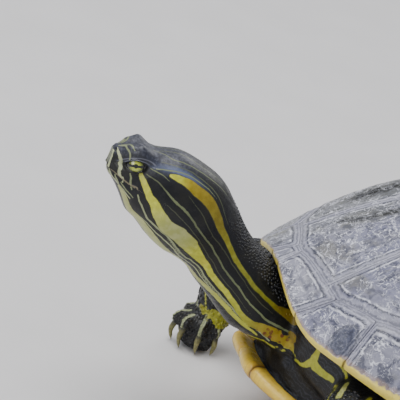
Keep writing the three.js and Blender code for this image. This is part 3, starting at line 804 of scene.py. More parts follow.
def back_scute(name, outline, areola, seed):
    outline = shrunk(np.array(outline), SEAM_GAP)
    centre = outline.mean(0) + np.array(areola)
    size = np.linalg.norm(outline - centre, axis=1).mean()

    def place(xy, level):
        edge = seam_distance(xy, outline)
        drift = SEAM_WANDER * step(np.hypot(xy[:, 0] / 60, xy[:, 1] / 100), 1.3, 0.9)[:, None]
        wander = np.stack([ripple(lifted(xy), 14, 1), ripple(lifted(xy, 1), 14, 5)], -1)
        moved = xy + wander * drift
        top = dome(*moved.T)
        normal = dome_normal(*moved.T)
        point = np.column_stack([moved, top]) + normal * horn_relief(edge, xy, seed)[:, None]
        keel_bump = KEEL_HEIGHT * bell(xy[:, 0], 0, KEEL_WIDTH) * step(xy[:, 1], -70,
                                                                       -30) * (1 - step(xy[:, 1],
                                                                                        70, 100))
        point[:, 2] += keel_bump * step(edge, 0.5,
                                        6) - KEEL_GROOVE * (keel_bump > 0) * bell(xy[:, 0], 0,
                                                                                  KEEL_WIDTH)
        below = np.column_stack([moved, dome(*moved.T, PLATE_THICKNESS)])
        return from_body(np.where(level[:, None] > 0.5, point, below))

    rows = ring_rows(size, BACK_SPACING)
    bm = ringed_plate(outline, centre, BACK_SPACING, rows, [rows[-1], *INNER_FACE_ROWS], place)
    body = to_body(places(bm))
    edge = seam_distance(body[:, :2], outline)
    keel = bell(body[:, 0], 0, KEEL_SHADE_WIDTH) * step(body[:, 1], -85, -40)
    return piece(bm, name, horn_finish, (name,), "carapace", edge=edge, keel=keel,
                 stain=stained(body[:, :2]))


faces = 0
for i in range(5):
    scute = back_scute(f"vertebral_{i + 1}", vertebral_outline(i), (0, 5), 1.3 * i)
    faces += len(scute.data.polygons)
for i in range(4):
    left = costal_outline(i)
    for side, outline, sign in (("left", left, 1), ("right", mirrored(left), -1)):
        scute = back_scute(f"costal_{side}_{i + 1}", outline, (-4 * sign, 4), 2.1 * i + sign)
        faces += len(scute.data.polygons)
print("back scutes:", faces, "faces")

# %% [markdown]
# ## The rim
#
# A marginal is a bent plate: horn above, a rounded yellow edge, and a flange that turns in
# below. Its cross-section is one closed loop, so each plate is a short tube that runs along
# the rim, with its cut ends closed at the seams.

# %% Marginal scutes and the nuchal
OUTER_ROWS, EDGE_ROWS, FLANGE_ROWS, BACK_ROWS = 22, 6, 9, 3
FLANGE_LIFT, FLANGE_SHORT, ROUNDING, FLANGE_RISE, NOTCH_REACH = 2, 1.8, 0.8, 0.4, 1.6
RIM_SPACING, RIM_MEAN_RADIUS, FEWEST_COLUMNS, NICK = 0.8, 105, 24, 0.35
NOTCHES = [(0, 0.35), (1.9, 0.4), (2.5, 1.0), (math.pi, 1.1)]


def rim_section(u, row, edges, ends):
    """Points of a marginal: u along the rim, row counted round its section."""
    trim = SEAM_GAP / HALF_LENGTH
    angle = edges[0] + trim + (edges[1] - edges[0] - 2 * trim) * u
    length = np.linalg.norm(ends[1] - ends[0])
    w = SEAM_GAP / length
    inner = ends[0] + (ends[1] - ends[0]) * (w + (1 - 2 * w) * u)[:, None]
    across = unit(ends[1] - ends[0])
    inner = inner + np.array((across[1], -across[0])) * SEAM_GAP
    rim = plan_point(angle, rim_radius(angle))
    inward = unit(inner - rim)
    side = np.minimum(u, 1 - u) * (edges[1] - edges[0]) * rim_radius(angle)
    rim = rim + inward * (eased(NOTCHES, np.abs(angle)) * bell(side, 0, NOTCH_REACH))[:, None]
    low = eased(RIM_HEIGHTS, np.abs(angle))
    out = np.clip(1 - row / OUTER_ROWS, 0, 1) ** 1.5
    xy = rim + (inner - rim) * out[:, None]
    z = np.where(out > 0, dome(*xy.T), low)
    turn = np.clip((row - OUTER_ROWS) / EDGE_ROWS, 0, 1) * np.pi / 2
    below = np.clip((row - OUTER_ROWS - EDGE_ROWS) / FLANGE_ROWS, 0, 1)
    flat = (FLANGE_WIDTH - FLANGE_SHORT) * below
    width = np.where(turn > 0, ROUNDING * (1 - np.cos(turn)) + flat, 0)
    depth = RIM_EDGE * np.sin(turn) - FLANGE_RISE * below
    turned = row > OUTER_ROWS
    xy = np.where(turned[:, None], rim + inward * width[:, None], xy)
    z = np.where(turned, low - depth, z)
    last = row - OUTER_ROWS - EDGE_ROWS - FLANGE_ROWS
    lifted = rim + inward * FLANGE_WIDTH
    xy = np.where((last == 1)[:, None], lifted, xy)
    z = np.where(last == 1, low + FLANGE_LIFT, z)
    rise = np.clip((last - 1) / (BACK_ROWS - 1), 0, 1)
    back = lifted + (inner - lifted) * rise[:, None]
    back_z = (low + FLANGE_LIFT) * (1 - rise) + dome(*inner.T, PLATE_THICKNESS) * rise
    xy = np.where((last > 1)[:, None], back, xy)
    z = np.where(last > 1, back_z, z)
    under = np.where(turned, width + depth, -np.linalg.norm(xy - rim, axis=1))
    return np.column_stack([xy, z]), side, under, out


def marginal(name, edges, ends, sign, seed):
    along = max(FEWEST_COLUMNS, round((edges[1] - edges[0]) * RIM_MEAN_RADIUS / RIM_SPACING))
    rows = OUTER_ROWS + EDGE_ROWS + FLANGE_ROWS + BACK_ROWS
    bm = grid(along, rows)
    flat = places(bm)
    u, row = flat[:, 0] + 0.5, np.round((flat[:, 1] + 0.5) * rows)
    points, side, under, out = rim_section(u, row, edges, ends)
    edge = np.minimum(side, seam_distance(points[:, :2], np.array(ends), closed=False))
    relief = horn_relief(edge, points[:, :2], seed)
    near_rim = step(-under, 0.0, 2.5)
    normal = dome_normal(*points[:, :2].T)
    swell = np.where(out > 0, relief * near_rim - GUTTER_DEPTH
                     * (1 - near_rim) * (1 - step(edge, 0.2, 1.2)), 0)
    seam_nick = np.where(out <= 0, NICK * (1 - step(side, 0.1, 1.0)), 0)
    points = points + normal * swell[:, None]
    points[:, 2] += seam_nick
    from_dent = np.hypot(points[:, 0] * sign - DENT_X, points[:, 1] - DENT_Y) / DENT_REACH
    dent = np.exp(-from_dent ** 2) * (out > 0)
    points[:, 2] -= DENT_DEPTH * dent - DENT_BRIM * bell(from_dent, 1.1, 0.3) * (out > 0)
    points[:, 0] *= sign
    move_to(bm, from_body(points))
    welded(bm, WELD / 10)
    closing = [e for e in bm.edges if e.is_boundary]
    top = [e for e in closing if all(abs(row[v.index]) < 0.5 for v in e.verts)]
    bottom = [e for e in closing if all(abs(row[v.index] - rows) < 0.5 for v in e.verts)]
    bmesh.ops.bridge_loops(bm, edges=top + bottom)
    return piece(filled(bm), name, rim_finish, (name,), "rim", edge=edge, under=under, seam=side,
                 keel=np.zeros(len(edge)), dent=dent)


nape = inner_seam[0]
marginal("nuchal", (-EDGE_SEAMS[0], EDGE_SEAMS[0]), (nape * (-1, 1), nape), 1, 0.4)
for i in range(12):
    edges, ends = (EDGE_SEAMS[i], EDGE_SEAMS[i + 1]), (inner_seam[i], inner_seam[i + 1])
    for side, sign in (("left", 1), ("right", -1)):
        marginal(f"marginal_{side}_{i + 1}", edges, ends, sign, 0.9 * i + sign)
print("rim scutes: 25")

# %% [markdown]
# ## The plastron
#
# The belly plates are thicker than the back's, and their free edge is rounded like a lip
# because it is horn wrapped round bone. The rings of the mesh follow the outline, so the
# rounding is only a matter of thinning the plate over the last few rings.

# %% Plastron scutes
FREE_FRONT = [(0, -119.3), (10.5, -119.8), (17, -117.6), (27, -109.5), (36, -98), (44, -84),
              (47.5, -66), (52, -57), (78, -46)]
FREE_REAR = [(79, 41), (54, 51), (49, 60), (46, 76), (38, 94), (27, 106), (12, 108), (0, 98)]


def lip_part(y):
    return np.maximum(0, (-y - LIP_START) / LIP_LENGTH) ** 2


def plastron_under(x, y):
    bridge = np.maximum(0, (np.abs(x) / spread(y) - PLASTRON_FLAT) / (BRIDGE_REACH - PLASTRON_FLAT))
    return BRIDGE_HEIGHT * bridge ** 1.6 + LIP_RISE * lip_part(y)


def plastron_over(x, y):
    return plastron_under(x, y) + PLASTRON_THICKNESS + LIP_SWELL * lip_part(y)


def free_run(edge, first, last):
    """The smooth free edge between two of its named points."""
    count = 5 * (last - first)
    return list(spline(edge, np.linspace(first, last, count + 1) / (len(edge) - 1)))


LEFT_SCUTES = {
    "gular": (free_run(FREE_FRONT, 0, 2) + [(0, -96)], (5, -110)),
    "humeral": (free_run(FREE_FRONT, 2, 4) + [(0, -80), (0, -96)], (16, -98)),
    "pectoral": (free_run(FREE_FRONT, 4, 8) + [(81, -24), (0, -40), (0, -80)], (40, -56)),
    "abdominal": ([(0, -40), (81, -24), (81.3, 26), (0, 14)], (40, -5)),
    "femoral": ([(0, 14), (81.3, 26)] + free_run(FREE_REAR, 0, 3) + [(0, 60)], (40, 40)),
    "anal": ([(0, 60)] + free_run(FREE_REAR, 3, 7), (18, 82)),
}
FREE_LINES = [free_run(FREE_FRONT, 0, 8), free_run(FREE_REAR, 0, 7)]
LIP_ROUNDING, EDGE_PART, BELLY_GROOVE, BELLY_WEAR = 4.6, 0.06, 0.4, 0.1
BELLY_EDGE_STEPS = np.array([0, 0.12, 0.4, 0.8, 1.3, 2.0, 2.8, 3.8, 5.0])
BELLY_SPACING, BELLY_RING_SPACING = 1.1, 2.2


# Colours of the belly.
BELLY_YELLOWS = ((0.88, 0.56, 0.04), (0.93, 0.68, 0.10))
BELLY_ORANGE = (0.68, 0.33, 0.03)
# painted shade: the underside of the belly plates is painted a deeper orange
BELLY_UNDERSIDE_SHADE = (0.52, 0.22, 0.018)
# partly the horn's own brown and partly painted shade, on the top face far inside the shell
BELLY_INSIDE_BROWN_AND_SHADE = (0.17, 0.11, 0.035)
BELLY_BLOTCH = (0.035, 0.028, 0.018)
BELLY_SEAM = (0.09, 0.045, 0.015)
BELLY_SEAM_SIDE = (0.42, 0.2, 0.05)
BELLY_RING = (0.45, 0.22, 0.05)


def plastron_finish():
    f = Finish("plastron horn", Roughness=0.34, Specular_IOR_Level=0.5, Coat_Weight=0.35,
               Coat_Roughness=0.18)
    edge, blotch = f.field("edge"), f.field("blotch")
    base = f.mix(f.noise(14, 4.0), *BELLY_YELLOWS)
    base = f.mix(f.remap(f.noise(5, 4.0, distortion=0.6), 0.5, 0.75, 0, 0.45), base, BELLY_ORANGE)
    # painted shade: deeper orange towards the underside of each plate
    base = f.mix(f.remap(f.field("level"), 0.35, 0.0, 0, 0.7), base, BELLY_UNDERSIDE_SHADE)
    # partly own brown, partly painted shade: the top face more than 12 mm from the free edge
    base = f.mix(f.remap(f.field("inside"), 12.0, 15.0, 0, 0.7), base, BELLY_INSIDE_BROWN_AND_SHADE)
    smudge = f.plus(blotch, f.times(f.minus(f.noise(9, 4.0), 0.5), 14))
    base = f.mix(f.remap(smudge, 2, 7, 0, 0.85), base, BELLY_BLOTCH)
    base = f.mix(f.remap(edge, 0.7, 0.12, 0, 0.85), base, BELLY_SEAM)
    base = f.mix(f.times(f.remap(edge, 2.6, 0.8), 0.35), base, BELLY_SEAM_SIDE)
    rings = f.sine(f.times(edge, 2.6))
    base = f.mix(f.times(f.remap(rings, 0.5, 1, 0, 0.22), f.remap(edge, 12, 2)), base, BELLY_RING)
    height = f.plus(f.times(rings, 0.25), f.noise(1.8, 4.0))
    return f.done(Base_Color=base, Normal=f.bump(height, 0.16, 0.6),
                  Roughness=f.remap(f.noise(6, 3.0), 0.35, 0.7, 0.27, 0.42))


belly_finish = plastron_finish()


def belly_scute(name, outline, centre, seed):
    outline = np.array(outline, float)
    outline[:, 0] *= spread(outline[:, 1])
    outline = shrunk(outline, SEAM_GAP)
    centre = np.array(centre, float)
    free_lines = []
    for line in FREE_LINES:
        line = np.array(line) * (np.sign(centre[0]), 1)
        line[:, 0] *= spread(line[:, 1])
        free_lines.append(line)
    size = np.linalg.norm(outline - centre, axis=1).mean()
    seams = []
    for a, b in zip(outline, np.roll(outline, -1, 0)):
        middle = ((a + b) / 2)[None]
        if "gular" in name and abs(middle[0, 0]) < 1:      # the front pair is grown together
            continue
        if min(seam_distance(middle, line, closed=False)[0] for line in free_lines) > 0.8:
            seams.append((a, b))

    def fields(xy):
        free = np.minimum(*(seam_distance(xy, line, closed=False) for line in free_lines))
        edge = np.full(len(xy), 1e9)
        for a, b in seams:
            edge = np.minimum(edge, seam_distance(xy, np.array((a, b)), closed=False))
        return free, edge

    def place(xy, level):
        free, edge = fields(xy)
        under, over = plastron_under(*xy.T), plastron_over(*xy.T)
        curve = np.clip(free / LIP_ROUNDING, 0, 1)
        full = EDGE_PART + (1 - EDGE_PART) * np.sqrt(1 - (1 - curve) ** 2)
        groove = BELLY_GROOVE * (1 - step(edge, 0.1, 1.1)) * step(edge, -1, 0)
        worn = BELLY_WEAR * ripple(lifted(xy), 8, seed)
        middle = (under + over) / 2
        half = (over - under) / 2 * full - groove - BELLY_WEAR + worn * 0.5
        return from_body(np.column_stack([xy, np.where(level > 0.5, middle + half, middle - half)]))

    rows = ring_rows(size, BELLY_RING_SPACING, BELLY_EDGE_STEPS, 4)
    bm = ringed_plate(outline, centre, BELLY_SPACING, rows, rows[::-1], place)
    body = to_body(places(bm))
    free, edge = fields(body[:, :2])
    middle = (plastron_under(*body[:, :2].T) + plastron_over(*body[:, :2].T)) / 2
    level = (body[:, 2] - middle) / PLASTRON_THICKNESS + 0.5
    inside = np.where(level > 0.5, free, 0)
    blotch = np.where(level < 0.4, 14 - np.linalg.norm((body[:, :2] - centre) / (1.0, 0.8), axis=1),
                      -20)
    return piece(bm, name, belly_finish, (name,), "plastron", edge=np.minimum(edge, 50),
                 level=level, inside=inside, blotch=blotch)


for k, (name, (outline, centre)) in enumerate(LEFT_SCUTES.items()):
    belly_scute(f"{name}_left", outline, centre, 1.7 * k)
    belly_scute(f"{name}_right", mirrored(vectors(outline)), (-centre[0], centre[1]), 1.7 * k + 0.8)
print("plastron scutes: 12")

# %% [markdown]
# ## One skin from many lofts
#
# A turtle's skin has no seams, but it is far easier to build the neck, the trunk, the legs
# and the tail each as a simple closed form. A voxel remesh then melts them into one even
# mesh. It costs fine detail, so the lids, the mouth and the folds are cut in afterwards.

# %% Head and neck surface
FACE_SECTIONS = [
    (0.8, 2.6, -0.6, -8.6, -2), (1.9, 5, 0.9, -10.4, 1), (4.4, 7.1, 2.6, -12.6, 5),
    (8, 9, 4.8, -15.4, 9),
    (11.5, 10.5, 5.2, -18.2, 12), (16, 12.8, 5.5, -22, 15),
]
NECK_SECTIONS = [
    (-171.1, 97.4, 24, 15.2, 16.4), (-162.3, 92.5, 30, 17, 18.2), (-154.9, 87.9, 32, 17, 18.4),
    (-148.2, 82.8, 37, 15.2, 16.3), (-142.5, 77.4, 43, 14, 14.5), (-137.4, 72, 45, 13.8, 14.3),
    (-130.9, 66.6, 43, 14.4, 14.5), (-119, 56, 44, 16, 14.5), (-103, 44.7, 43, 18, 13.4),
]
BROW_SECTION, BROW_SWELL, FULLNESS = 3.4, 0.3, 2 / 2.25

section_centres = [head_frame_point(b, 0, (t + l) / 2) for b, w, t, l, lean in FACE_SECTIONS]
section_centres += [np.array((0, y, z)) for y, z, *_ in NECK_SECTIONS]
section_shapes = [(w, (t - l) / 2, math.radians(lean)) for b, w, t, l, lean in FACE_SECTIONS]
section_shapes += [(w, d, math.radians(pitch)) for y, z, pitch, w, d in NECK_SECTIONS]
LAST_SECTION = len(section_shapes) - 1


def neck_surface(at, turn):
    """Point at a section number, turned from the nape line (0) over the left side."""
    centre = spline(section_centres, at / LAST_SECTION)
    wide, deep, pitch = spline(section_shapes, at / LAST_SECTION).T
    across = np.sign(np.sin(turn)) * np.abs(np.sin(turn)) ** FULLNESS
    upward = np.sign(np.cos(turn)) * np.abs(np.cos(turn)) ** FULLNESS
    along = bell(at, BROW_SECTION, 0.9)
    brow = BROW_SWELL * along * bell(upward, 0.8, 0.25) * np.minimum(1, np.abs(across) * 2)
    out = wide * across * (1 - 0.1 * np.maximum(0, upward)) * (1 + brow)
    height = deep * upward * (1 + brow)
    return centre + np.stack([out, height * np.sin(pitch), height * np.cos(pitch)], -1)


LINE_SAMPLES = 600
neck_line = spline(section_centres, np.linspace(0, 1, LINE_SAMPLES))
line_length = length_of(neck_line)


def on_neck(length, degrees):
    """Surface point a length along from the snout, turned by degrees from the nape line."""
    at = np.interp(length, line_length, np.linspace(0, LAST_SECTION, LINE_SAMPLES))
    return neck_surface(at, np.radians(degrees))


def neck_form(columns=150, rows=72):
    snout = grid(columns, rows)
    flat = places(snout)
    at = LAST_SECTION * (flat[:, 0] + 0.5) ** 1.3
    move_to(snout, neck_surface(at, 2 * np.pi * flat[:, 1]))
    return filled(welded(snout))

# %% Trunk inside the shell
TRUNK_INSET, TRUNK_ROUND_TOP, TRUNK_ROUND_BOTTOM = 12.5, 0.5, 0.2
TRUNK_SIDE_DROP, TRUNK_CEILING_DROP, FLOOR_GAP, TRUNK_POWER = 5, 1.8, 0.5, 0.45
COLLAR_PLACE, COLLAR_SIZE = (0, -75, 8), (42, 38, 22)


def trunk_form():
    bm = unit_ball(56, 24)
    x, y, z = places(bm).T
    angle = np.arctan2(x, -y)
    flat = np.hypot(x, y) ** np.where(z > 0, TRUNK_ROUND_TOP, TRUNK_ROUND_BOTTOM)
    plan = plan_point(angle, rim_radius(angle, TRUNK_INSET) * flat)
    under = plastron_over(*plan.T) + FLOOR_GAP
    middle = eased(RIM_HEIGHTS, np.abs(angle)) - TRUNK_SIDE_DROP
    ceiling = dome(*plan.T, PLATE_THICKNESS) - TRUNK_CEILING_DROP
    height = middle + (np.where(z > 0, ceiling, under) - middle) * np.abs(z) ** TRUNK_POWER
    move_to(bm, from_body(np.column_stack([plan, height])))
    return faced(bm)


def collar_form():
    """The loose skin that fills the front of the shell behind the plastron's lip."""
    bm = unit_ball(48, 24)
    move_to(bm, from_body(places(bm) * COLLAR_SIZE + COLLAR_PLACE))
    return bm

# %% Legs, digits and tail
def tube_frame(path, at):
    centre = spline(path, at, centripetal=True)
    ahead = spline(path, np.minimum(at + 1e-3, 1), centripetal=True)
    behind = spline(path, np.maximum(at - 1e-3, 0), centripetal=True)
    tangent = unit(ahead - behind)
    across = unit(np.cross(tangent, unit((0.3, 0.2, 1))))
    return centre, across, np.cross(across, tangent)


def bar(path, radii, columns=30, rows=24, swell=None):
    """A closed round bar along a path; swell may change its radius by place and turn."""
    def place(u, v):
        centre, across, upward = tube_frame(path, u)
        radius = eased(radii, u)
        if swell:
            radius = radius * swell(u, 2 * np.pi * v)
        x, z = np.cos(2 * np.pi * v) * radius, np.sin(2 * np.pi * v) * radius
        return centre + across * x[:, None] + upward * z[:, None]
    return closed_tube(columns, rows, place)


def ball(centre, radii, turn=0.0):
    bm = unit_ball(32, 20)
    bmesh.ops.scale(bm, vec=radii, verts=bm.verts)
    bmesh.ops.rotate(bm, matrix=Matrix.Rotation(turn, 3, "Z"), verts=bm.verts)
    bmesh.ops.translate(bm, vec=centre, verts=bm.verts)
    return bm


HIND_HEADINGS = (-30, -10, 10, 30, 52)
# Digits of a forefoot, inner one first: heading, reach of the claw and height of the knuckle.
FORE_DIGITS = [(-105, 7.6, 12.6), (-58, 9.8, 13), (-22, 12.8, 13.6), (8, 14.2, 12.6),
               (42, 12, 14.4)]
FORE_WEBS = [(-105, -58, 9), (-58, -22, 11.4), (-22, 8, 13), (8, 42, 12.6)]


class Foot:
    """A foot's own frame: out along a digit's heading, at a height over the ground."""
    def __init__(self, side, x, y, yaw, path, hind):
        self.side, self.x, self.y, self.yaw, self.hind = side, x, y, yaw, hind
        self.path = [np.array((side * p[0], p[1], p[2]), float) for p in path]
        self.headings = HIND_HEADINGS if hind else [digit[0] for digit in FORE_DIGITS]
        self.path.append(self.at(0, -9, 9) if hind else self.at(0, -1.5, 12))
        self.radii = ([(0, 13), (0.4, 12.4), (0.7, 10.5), (1, 8.2)] if hind
                      else [(0, 13), (0.35, 11.5), (0.62, 9.6), (0.85, 8.4), (1, 8)])

    def at(self, heading, out, height):
        angle = math.radians(self.yaw + heading)
        return np.array((self.x + self.side * out * math.sin(angle), self.y - out * math.cos(angle),
                         height))

    def digit_points(self, i):
        """Root, knuckle, tip and claw point of digit i, with the claw or without."""
        heading = self.headings[i]
        if self.hind:
            short = abs(i - 1)
            steps = [(4, 5.5), (14 - 0.6 * short, 6), (19.5 - short, 3.6),
                     (27.5 - 1.2 * short, 0.3)]
        else:
            heading, reach, height = FORE_DIGITS[i]
            steps = [(3, 13), (reach - 0.8, height), (reach + 0.6, height - 4.6), (reach, 0.3)]
        return [self.at(heading, *s) for s in steps]

    def claws(self):
        return range(4) if self.hind else range(5)


FEET = {
    "foreleg_left": Foot(1, 84, -99, 12,
                         [(40, -72, 42), (57, -86, 43), (77, -98, 38), (82, -100, 24)], False),
    "foreleg_right": Foot(-1, -61, -113.5, 0,
                          [(40, -72, 42), (53, -88, 45), (65, -107, 40), (63, -113, 25)], False),
    "hindleg_left": Foot(1, 94, 76, 35, [(40, 76, 27), (62, 72, 27), (82, 66, 26), (88, 78, 16)],
                         True),
    "hindleg_right": Foot(-1, -92, 86, 40, [(40, 76, 27), (62, 74, 27), (82, 72, 26), (86, 86, 16)],
                          True),
}
SOLE_DROP, COAT_DEPTH = 1.2, 0.3
HIND_DIGIT_RADIUS, FORE_DIGIT_RADIUS, DIGIT_TAPER = 3.0, 2.9, 0.72


def leg_forms(foot):
    forms = [bar(foot.path, foot.radii, 40, 28)]
    if foot.hind:
        turn = math.pi / 2 + foot.side * math.radians(foot.yaw)
        forms.append(ball((foot.x, foot.y, 5 - SOLE_DROP), (16, 10.5, 5), turn))
        web = foot.at(11, 4, 3.3)
        forms.append(ball(web, (14, 11, 1.9), turn + foot.side * math.radians(11)))
    else:
        forms.append(ball(foot.at(5, 3.4, 7.6 - SOLE_DROP), (8, 8, 7.6)))
    for low, high, reach in () if foot.hind else FORE_WEBS:
        heading = (low + high) / 2
        turn = math.pi / 2 + foot.side * math.radians(foot.yaw + heading)
        forms.append(ball(foot.at(heading, reach * 0.5, 5.6), (reach * 0.5, 3.6, 5.4), turn))
    for i in range(5):
        root, knuckle, tip, _ = foot.digit_points(i)
        radius = HIND_DIGIT_RADIUS if foot.hind else FORE_DIGIT_RADIUS
        forms.append(bar([root, knuckle, tip],
                         [(0, radius), (0.6, radius), (1, radius * DIGIT_TAPER)], 14, 14))
    return forms


TAIL_PATH = [(0, 88, 22), (0.5, 104, 20.5), (4, 119, 15), (12, 132, 9), (22, 140, 5)]
TAIL_RADII = [(0, 8.5), (0.3, 7.4), (0.75, 3.6), (1, 1.2)]

forms = [neck_form(), trunk_form(), collar_form(), bar(vectors(TAIL_PATH), TAIL_RADII, 50, 24)]
for foot in FEET.values():
    forms += leg_forms(foot)
print("forms of flesh:", len(forms))

# %% Melt the forms together
VOXEL = 1.25
HUGGING = 8        # flesh that faces a plate from this near can't be seen
HIDDEN_KEPT, EVENING_ROUNDS = 0.05, 4


def melted(forms, voxel):
    together = joined(forms)
    mesh = bpy.data.meshes.new("flesh")
    together.to_mesh(mesh)
    together.free()
    obj = linked("flesh", mesh)
    remesh = obj.modifiers.new("one skin", "REMESH")
    remesh.mode, remesh.voxel_size = "VOXEL", voxel
    graph = bpy.context.evaluated_depsgraph_get()
    result = bpy.data.meshes.new_from_object(obj.evaluated_get(graph))
    bpy.data.objects.remove(obj)
    bpy.data.meshes.remove(mesh)
    return result


def relaxed(mesh, rounds, factor=0.5, held=None):
    """Evens a mesh out: each point moves towards the mean of its neighbours."""
    count = len(mesh.vertices)
    points = np.empty(count * 3)
    mesh.vertices.foreach_get("co", points)
    points = points.reshape(-1, 3)
    ends = np.empty(len(mesh.edges) * 2, int)
    mesh.edges.foreach_get("vertices", ends)
    a, b = ends.reshape(-1, 2).T
    near = np.bincount(a, minlength=count) + np.bincount(b, minlength=count)
    weight = factor if held is None else factor * (1 - held)[:, None]
    for _ in range(rounds):
        total = np.stack([np.bincount(a, points[b, k], count) + np.bincount(b, points[a, k], count)
                          for k in range(3)], -1)
        points = points + (total / near[:, None] - points) * weight
    mesh.vertices.foreach_set("co", points.ravel())
    mesh.update()
    return points


def thinned(mesh, hidden, kept):
    """Collapses the faces round the hidden points and leaves the rest as they are."""
    obj = linked("flesh", mesh)
    group = obj.vertex_groups.new(name="hidden")
    group.add(np.flatnonzero(hidden).tolist(), 1.0, "REPLACE")
    thin = obj.modifiers.new("thin", "DECIMATE")
    thin.vertex_group, thin.vertex_group_factor = group.name, 1000
    thin.ratio = 1 - hidden.mean() * (1 - kept)
    graph = bpy.context.evaluated_depsgraph_get()
    result = bpy.data.meshes.new_from_object(obj.evaluated_get(graph))
    bpy.data.objects.remove(obj)
    return result


flesh = melted(forms, VOXEL)
relaxed(flesh, EVENING_ROUNDS)
print("one skin:", len(flesh.polygons), "faces")
plates = bmesh.new()
for obj in made:
    plates.from_mesh(obj.data)
plate_tree = BVHTree.FromBMesh(plates)
plates.free()
shift = Vector(SHIFT)
met = (plate_tree.ray_cast(v.co * MM + shift, v.normal, HUGGING * MM)[0] for v in flesh.vertices)
under_plates = np.array([place is not None for place in met])
flesh = thinned(flesh, under_plates, HIDDEN_KEPT)
print("hidden under the shell:", int(under_plates.sum()), "points; kept", len(flesh.polygons),
      "faces")

# %% Finer faces where the eye rests
def refined(mesh, chosen):
    bm = bmesh.new()
    bm.from_mesh(mesh)
    faces = [f for f in bm.faces if chosen(f.calc_center_median())]
    edges = list({e for f in faces for e in f.edges})
    bmesh.ops.subdivide_edges(bm, edges=edges, cuts=1, use_grid_fill=True)
    bm.to_mesh(mesh)
    bm.free()


for behind, bottom, wide in ((-110, 36, 24), (-172, 60, math.inf)):      # the neck, then the face
    refined(flesh, lambda c: c.y < behind and c.z > bottom and abs(c.x) < wide)
    relaxed(flesh, 1)
print("with finer head:", len(flesh.vertices), "points,", len(flesh.polygons), "faces")

# %% [markdown]
# ## Features of the head
#
# The remeshed skin is drawn back onto the exact loft of the head and neck. Then each feature
# moves the points near it: a lid is a shell round the eyeball, the mouth is a groove with an
# overhanging upper beak, a nostril is a pit. All of them are written for the left side in the
# head's own frame and used on both, by taking the distance from the midline as positive.

# %% Back onto the loft
def coordinates_of(mesh, kind="co"):
    flat = np.empty(len(mesh.vertices) * 3)
    mesh.vertices.foreach_get(kind, flat)
    return flat.reshape(-1, 3)


def set_coordinates(mesh, points):
    mesh.vertices.foreach_set("co", points.ravel())
    mesh.update()


def nearest_on(tree, points):
    return np.array([tree.find_nearest(Vector(p))[0] for p in points])


GUIDE_COLUMNS, GUIDE_ROWS, GUIDE_STEP = 420, 200, 2
HEAD_END_Y, HEAD_BOTTOM_Z, HEAD_HALF_WIDTH, FACE_END_Y = -106, 34, 24, -168
guide = neck_form(GUIDE_COLUMNS, GUIDE_ROWS)
guide_tree = BVHTree.FromBMesh(guide)
guide.free()
guide_at, guide_turn = np.meshgrid(np.linspace(0, LAST_SECTION, GUIDE_COLUMNS),
                                   np.radians(np.arange(0, 360, GUIDE_STEP)), indexing="ij")
guide_points = neck_surface(guide_at.ravel(), guide_turn.ravel())
guide_kd = find_tree(guide_points)

points = coordinates_of(flesh)
on_head = (points[:, 1] < HEAD_END_Y) & (points[:, 2] > HEAD_BOTTOM_Z)
on_head &= np.abs(points[:, 0]) < HEAD_HALF_WIDTH
weight = (1 - step(points[on_head, 1], -124, -112))[:, None]
points[on_head] += (nearest_on(guide_tree, points[on_head]) - points[on_head]) * weight
set_coordinates(flesh, points)
nearest = nearest_number(guide_kd, points[on_head])
length_along = np.full(len(points), 200.0)
turned = np.zeros(len(points))
length_along[on_head] = np.interp(guide_at.ravel()[nearest],
                                  np.linspace(0, LAST_SECTION, LINE_SAMPLES), line_length)
turned[on_head] = np.degrees(np.pi - np.abs(np.pi - guide_turn.ravel()[nearest]))
print("head and neck points:", int(on_head.sum()))

# %% Lids, nostrils and beak
def head_local(points):
    """Back from the snout tip, out from the midline (always positive) and up."""
    cos, sin = math.cos(HEAD_PITCH), math.sin(HEAD_PITCH)
    y, z = points[:, 1] - SNOUT_Y, points[:, 2] - SNOUT_Z
    return np.column_stack([y * cos - z * sin, np.abs(points[:, 0]), y * sin + z * cos])


def from_local(local, sign):
    points = head_frame_point(*local.T)
    points[:, 0] *= sign
    return points


EYE_CENTRE = np.array((EYE_BACK, EYE_OUT, -EYE_DROP))
EYE_AHEAD = unit((-0.25, 0.92, 0.30))
EYE_SLANT = np.array((0.91, 0.23, 0.33))
EYE_LONG = unit(EYE_SLANT - EYE_AHEAD * (EYE_SLANT @ EYE_AHEAD))
EYE_OVER = np.cross(EYE_AHEAD, EYE_LONG)
EYE_OVER = EYE_OVER * np.sign(EYE_OVER[2])
OPENING_LONG, OPENING_ABOVE, OPENING_BELOW = 4.0, 1.45, 2.2
LID_THICKNESS, OPENING_POWER, UPPER_LID_SWELL, SOCKET_DEPTH = 0.75, 1.8, 0.35, 0.55


def eye_reach(local):
    """1 on the edge of the eye's opening, less inside it; and the height over its middle."""
    q = local - EYE_CENTRE
    along, over, ahead = q @ EYE_LONG, q @ EYE_OVER, q @ EYE_AHEAD
    tall = np.where(over > 0, OPENING_ABOVE, OPENING_BELOW) * (1 + 0.12 * along / OPENING_LONG)
    pointed = np.abs(along / OPENING_LONG) ** OPENING_POWER + np.abs(over / tall) ** OPENING_POWER
    return np.where(ahead > 0, pointed ** (1 / OPENING_POWER), 9), over


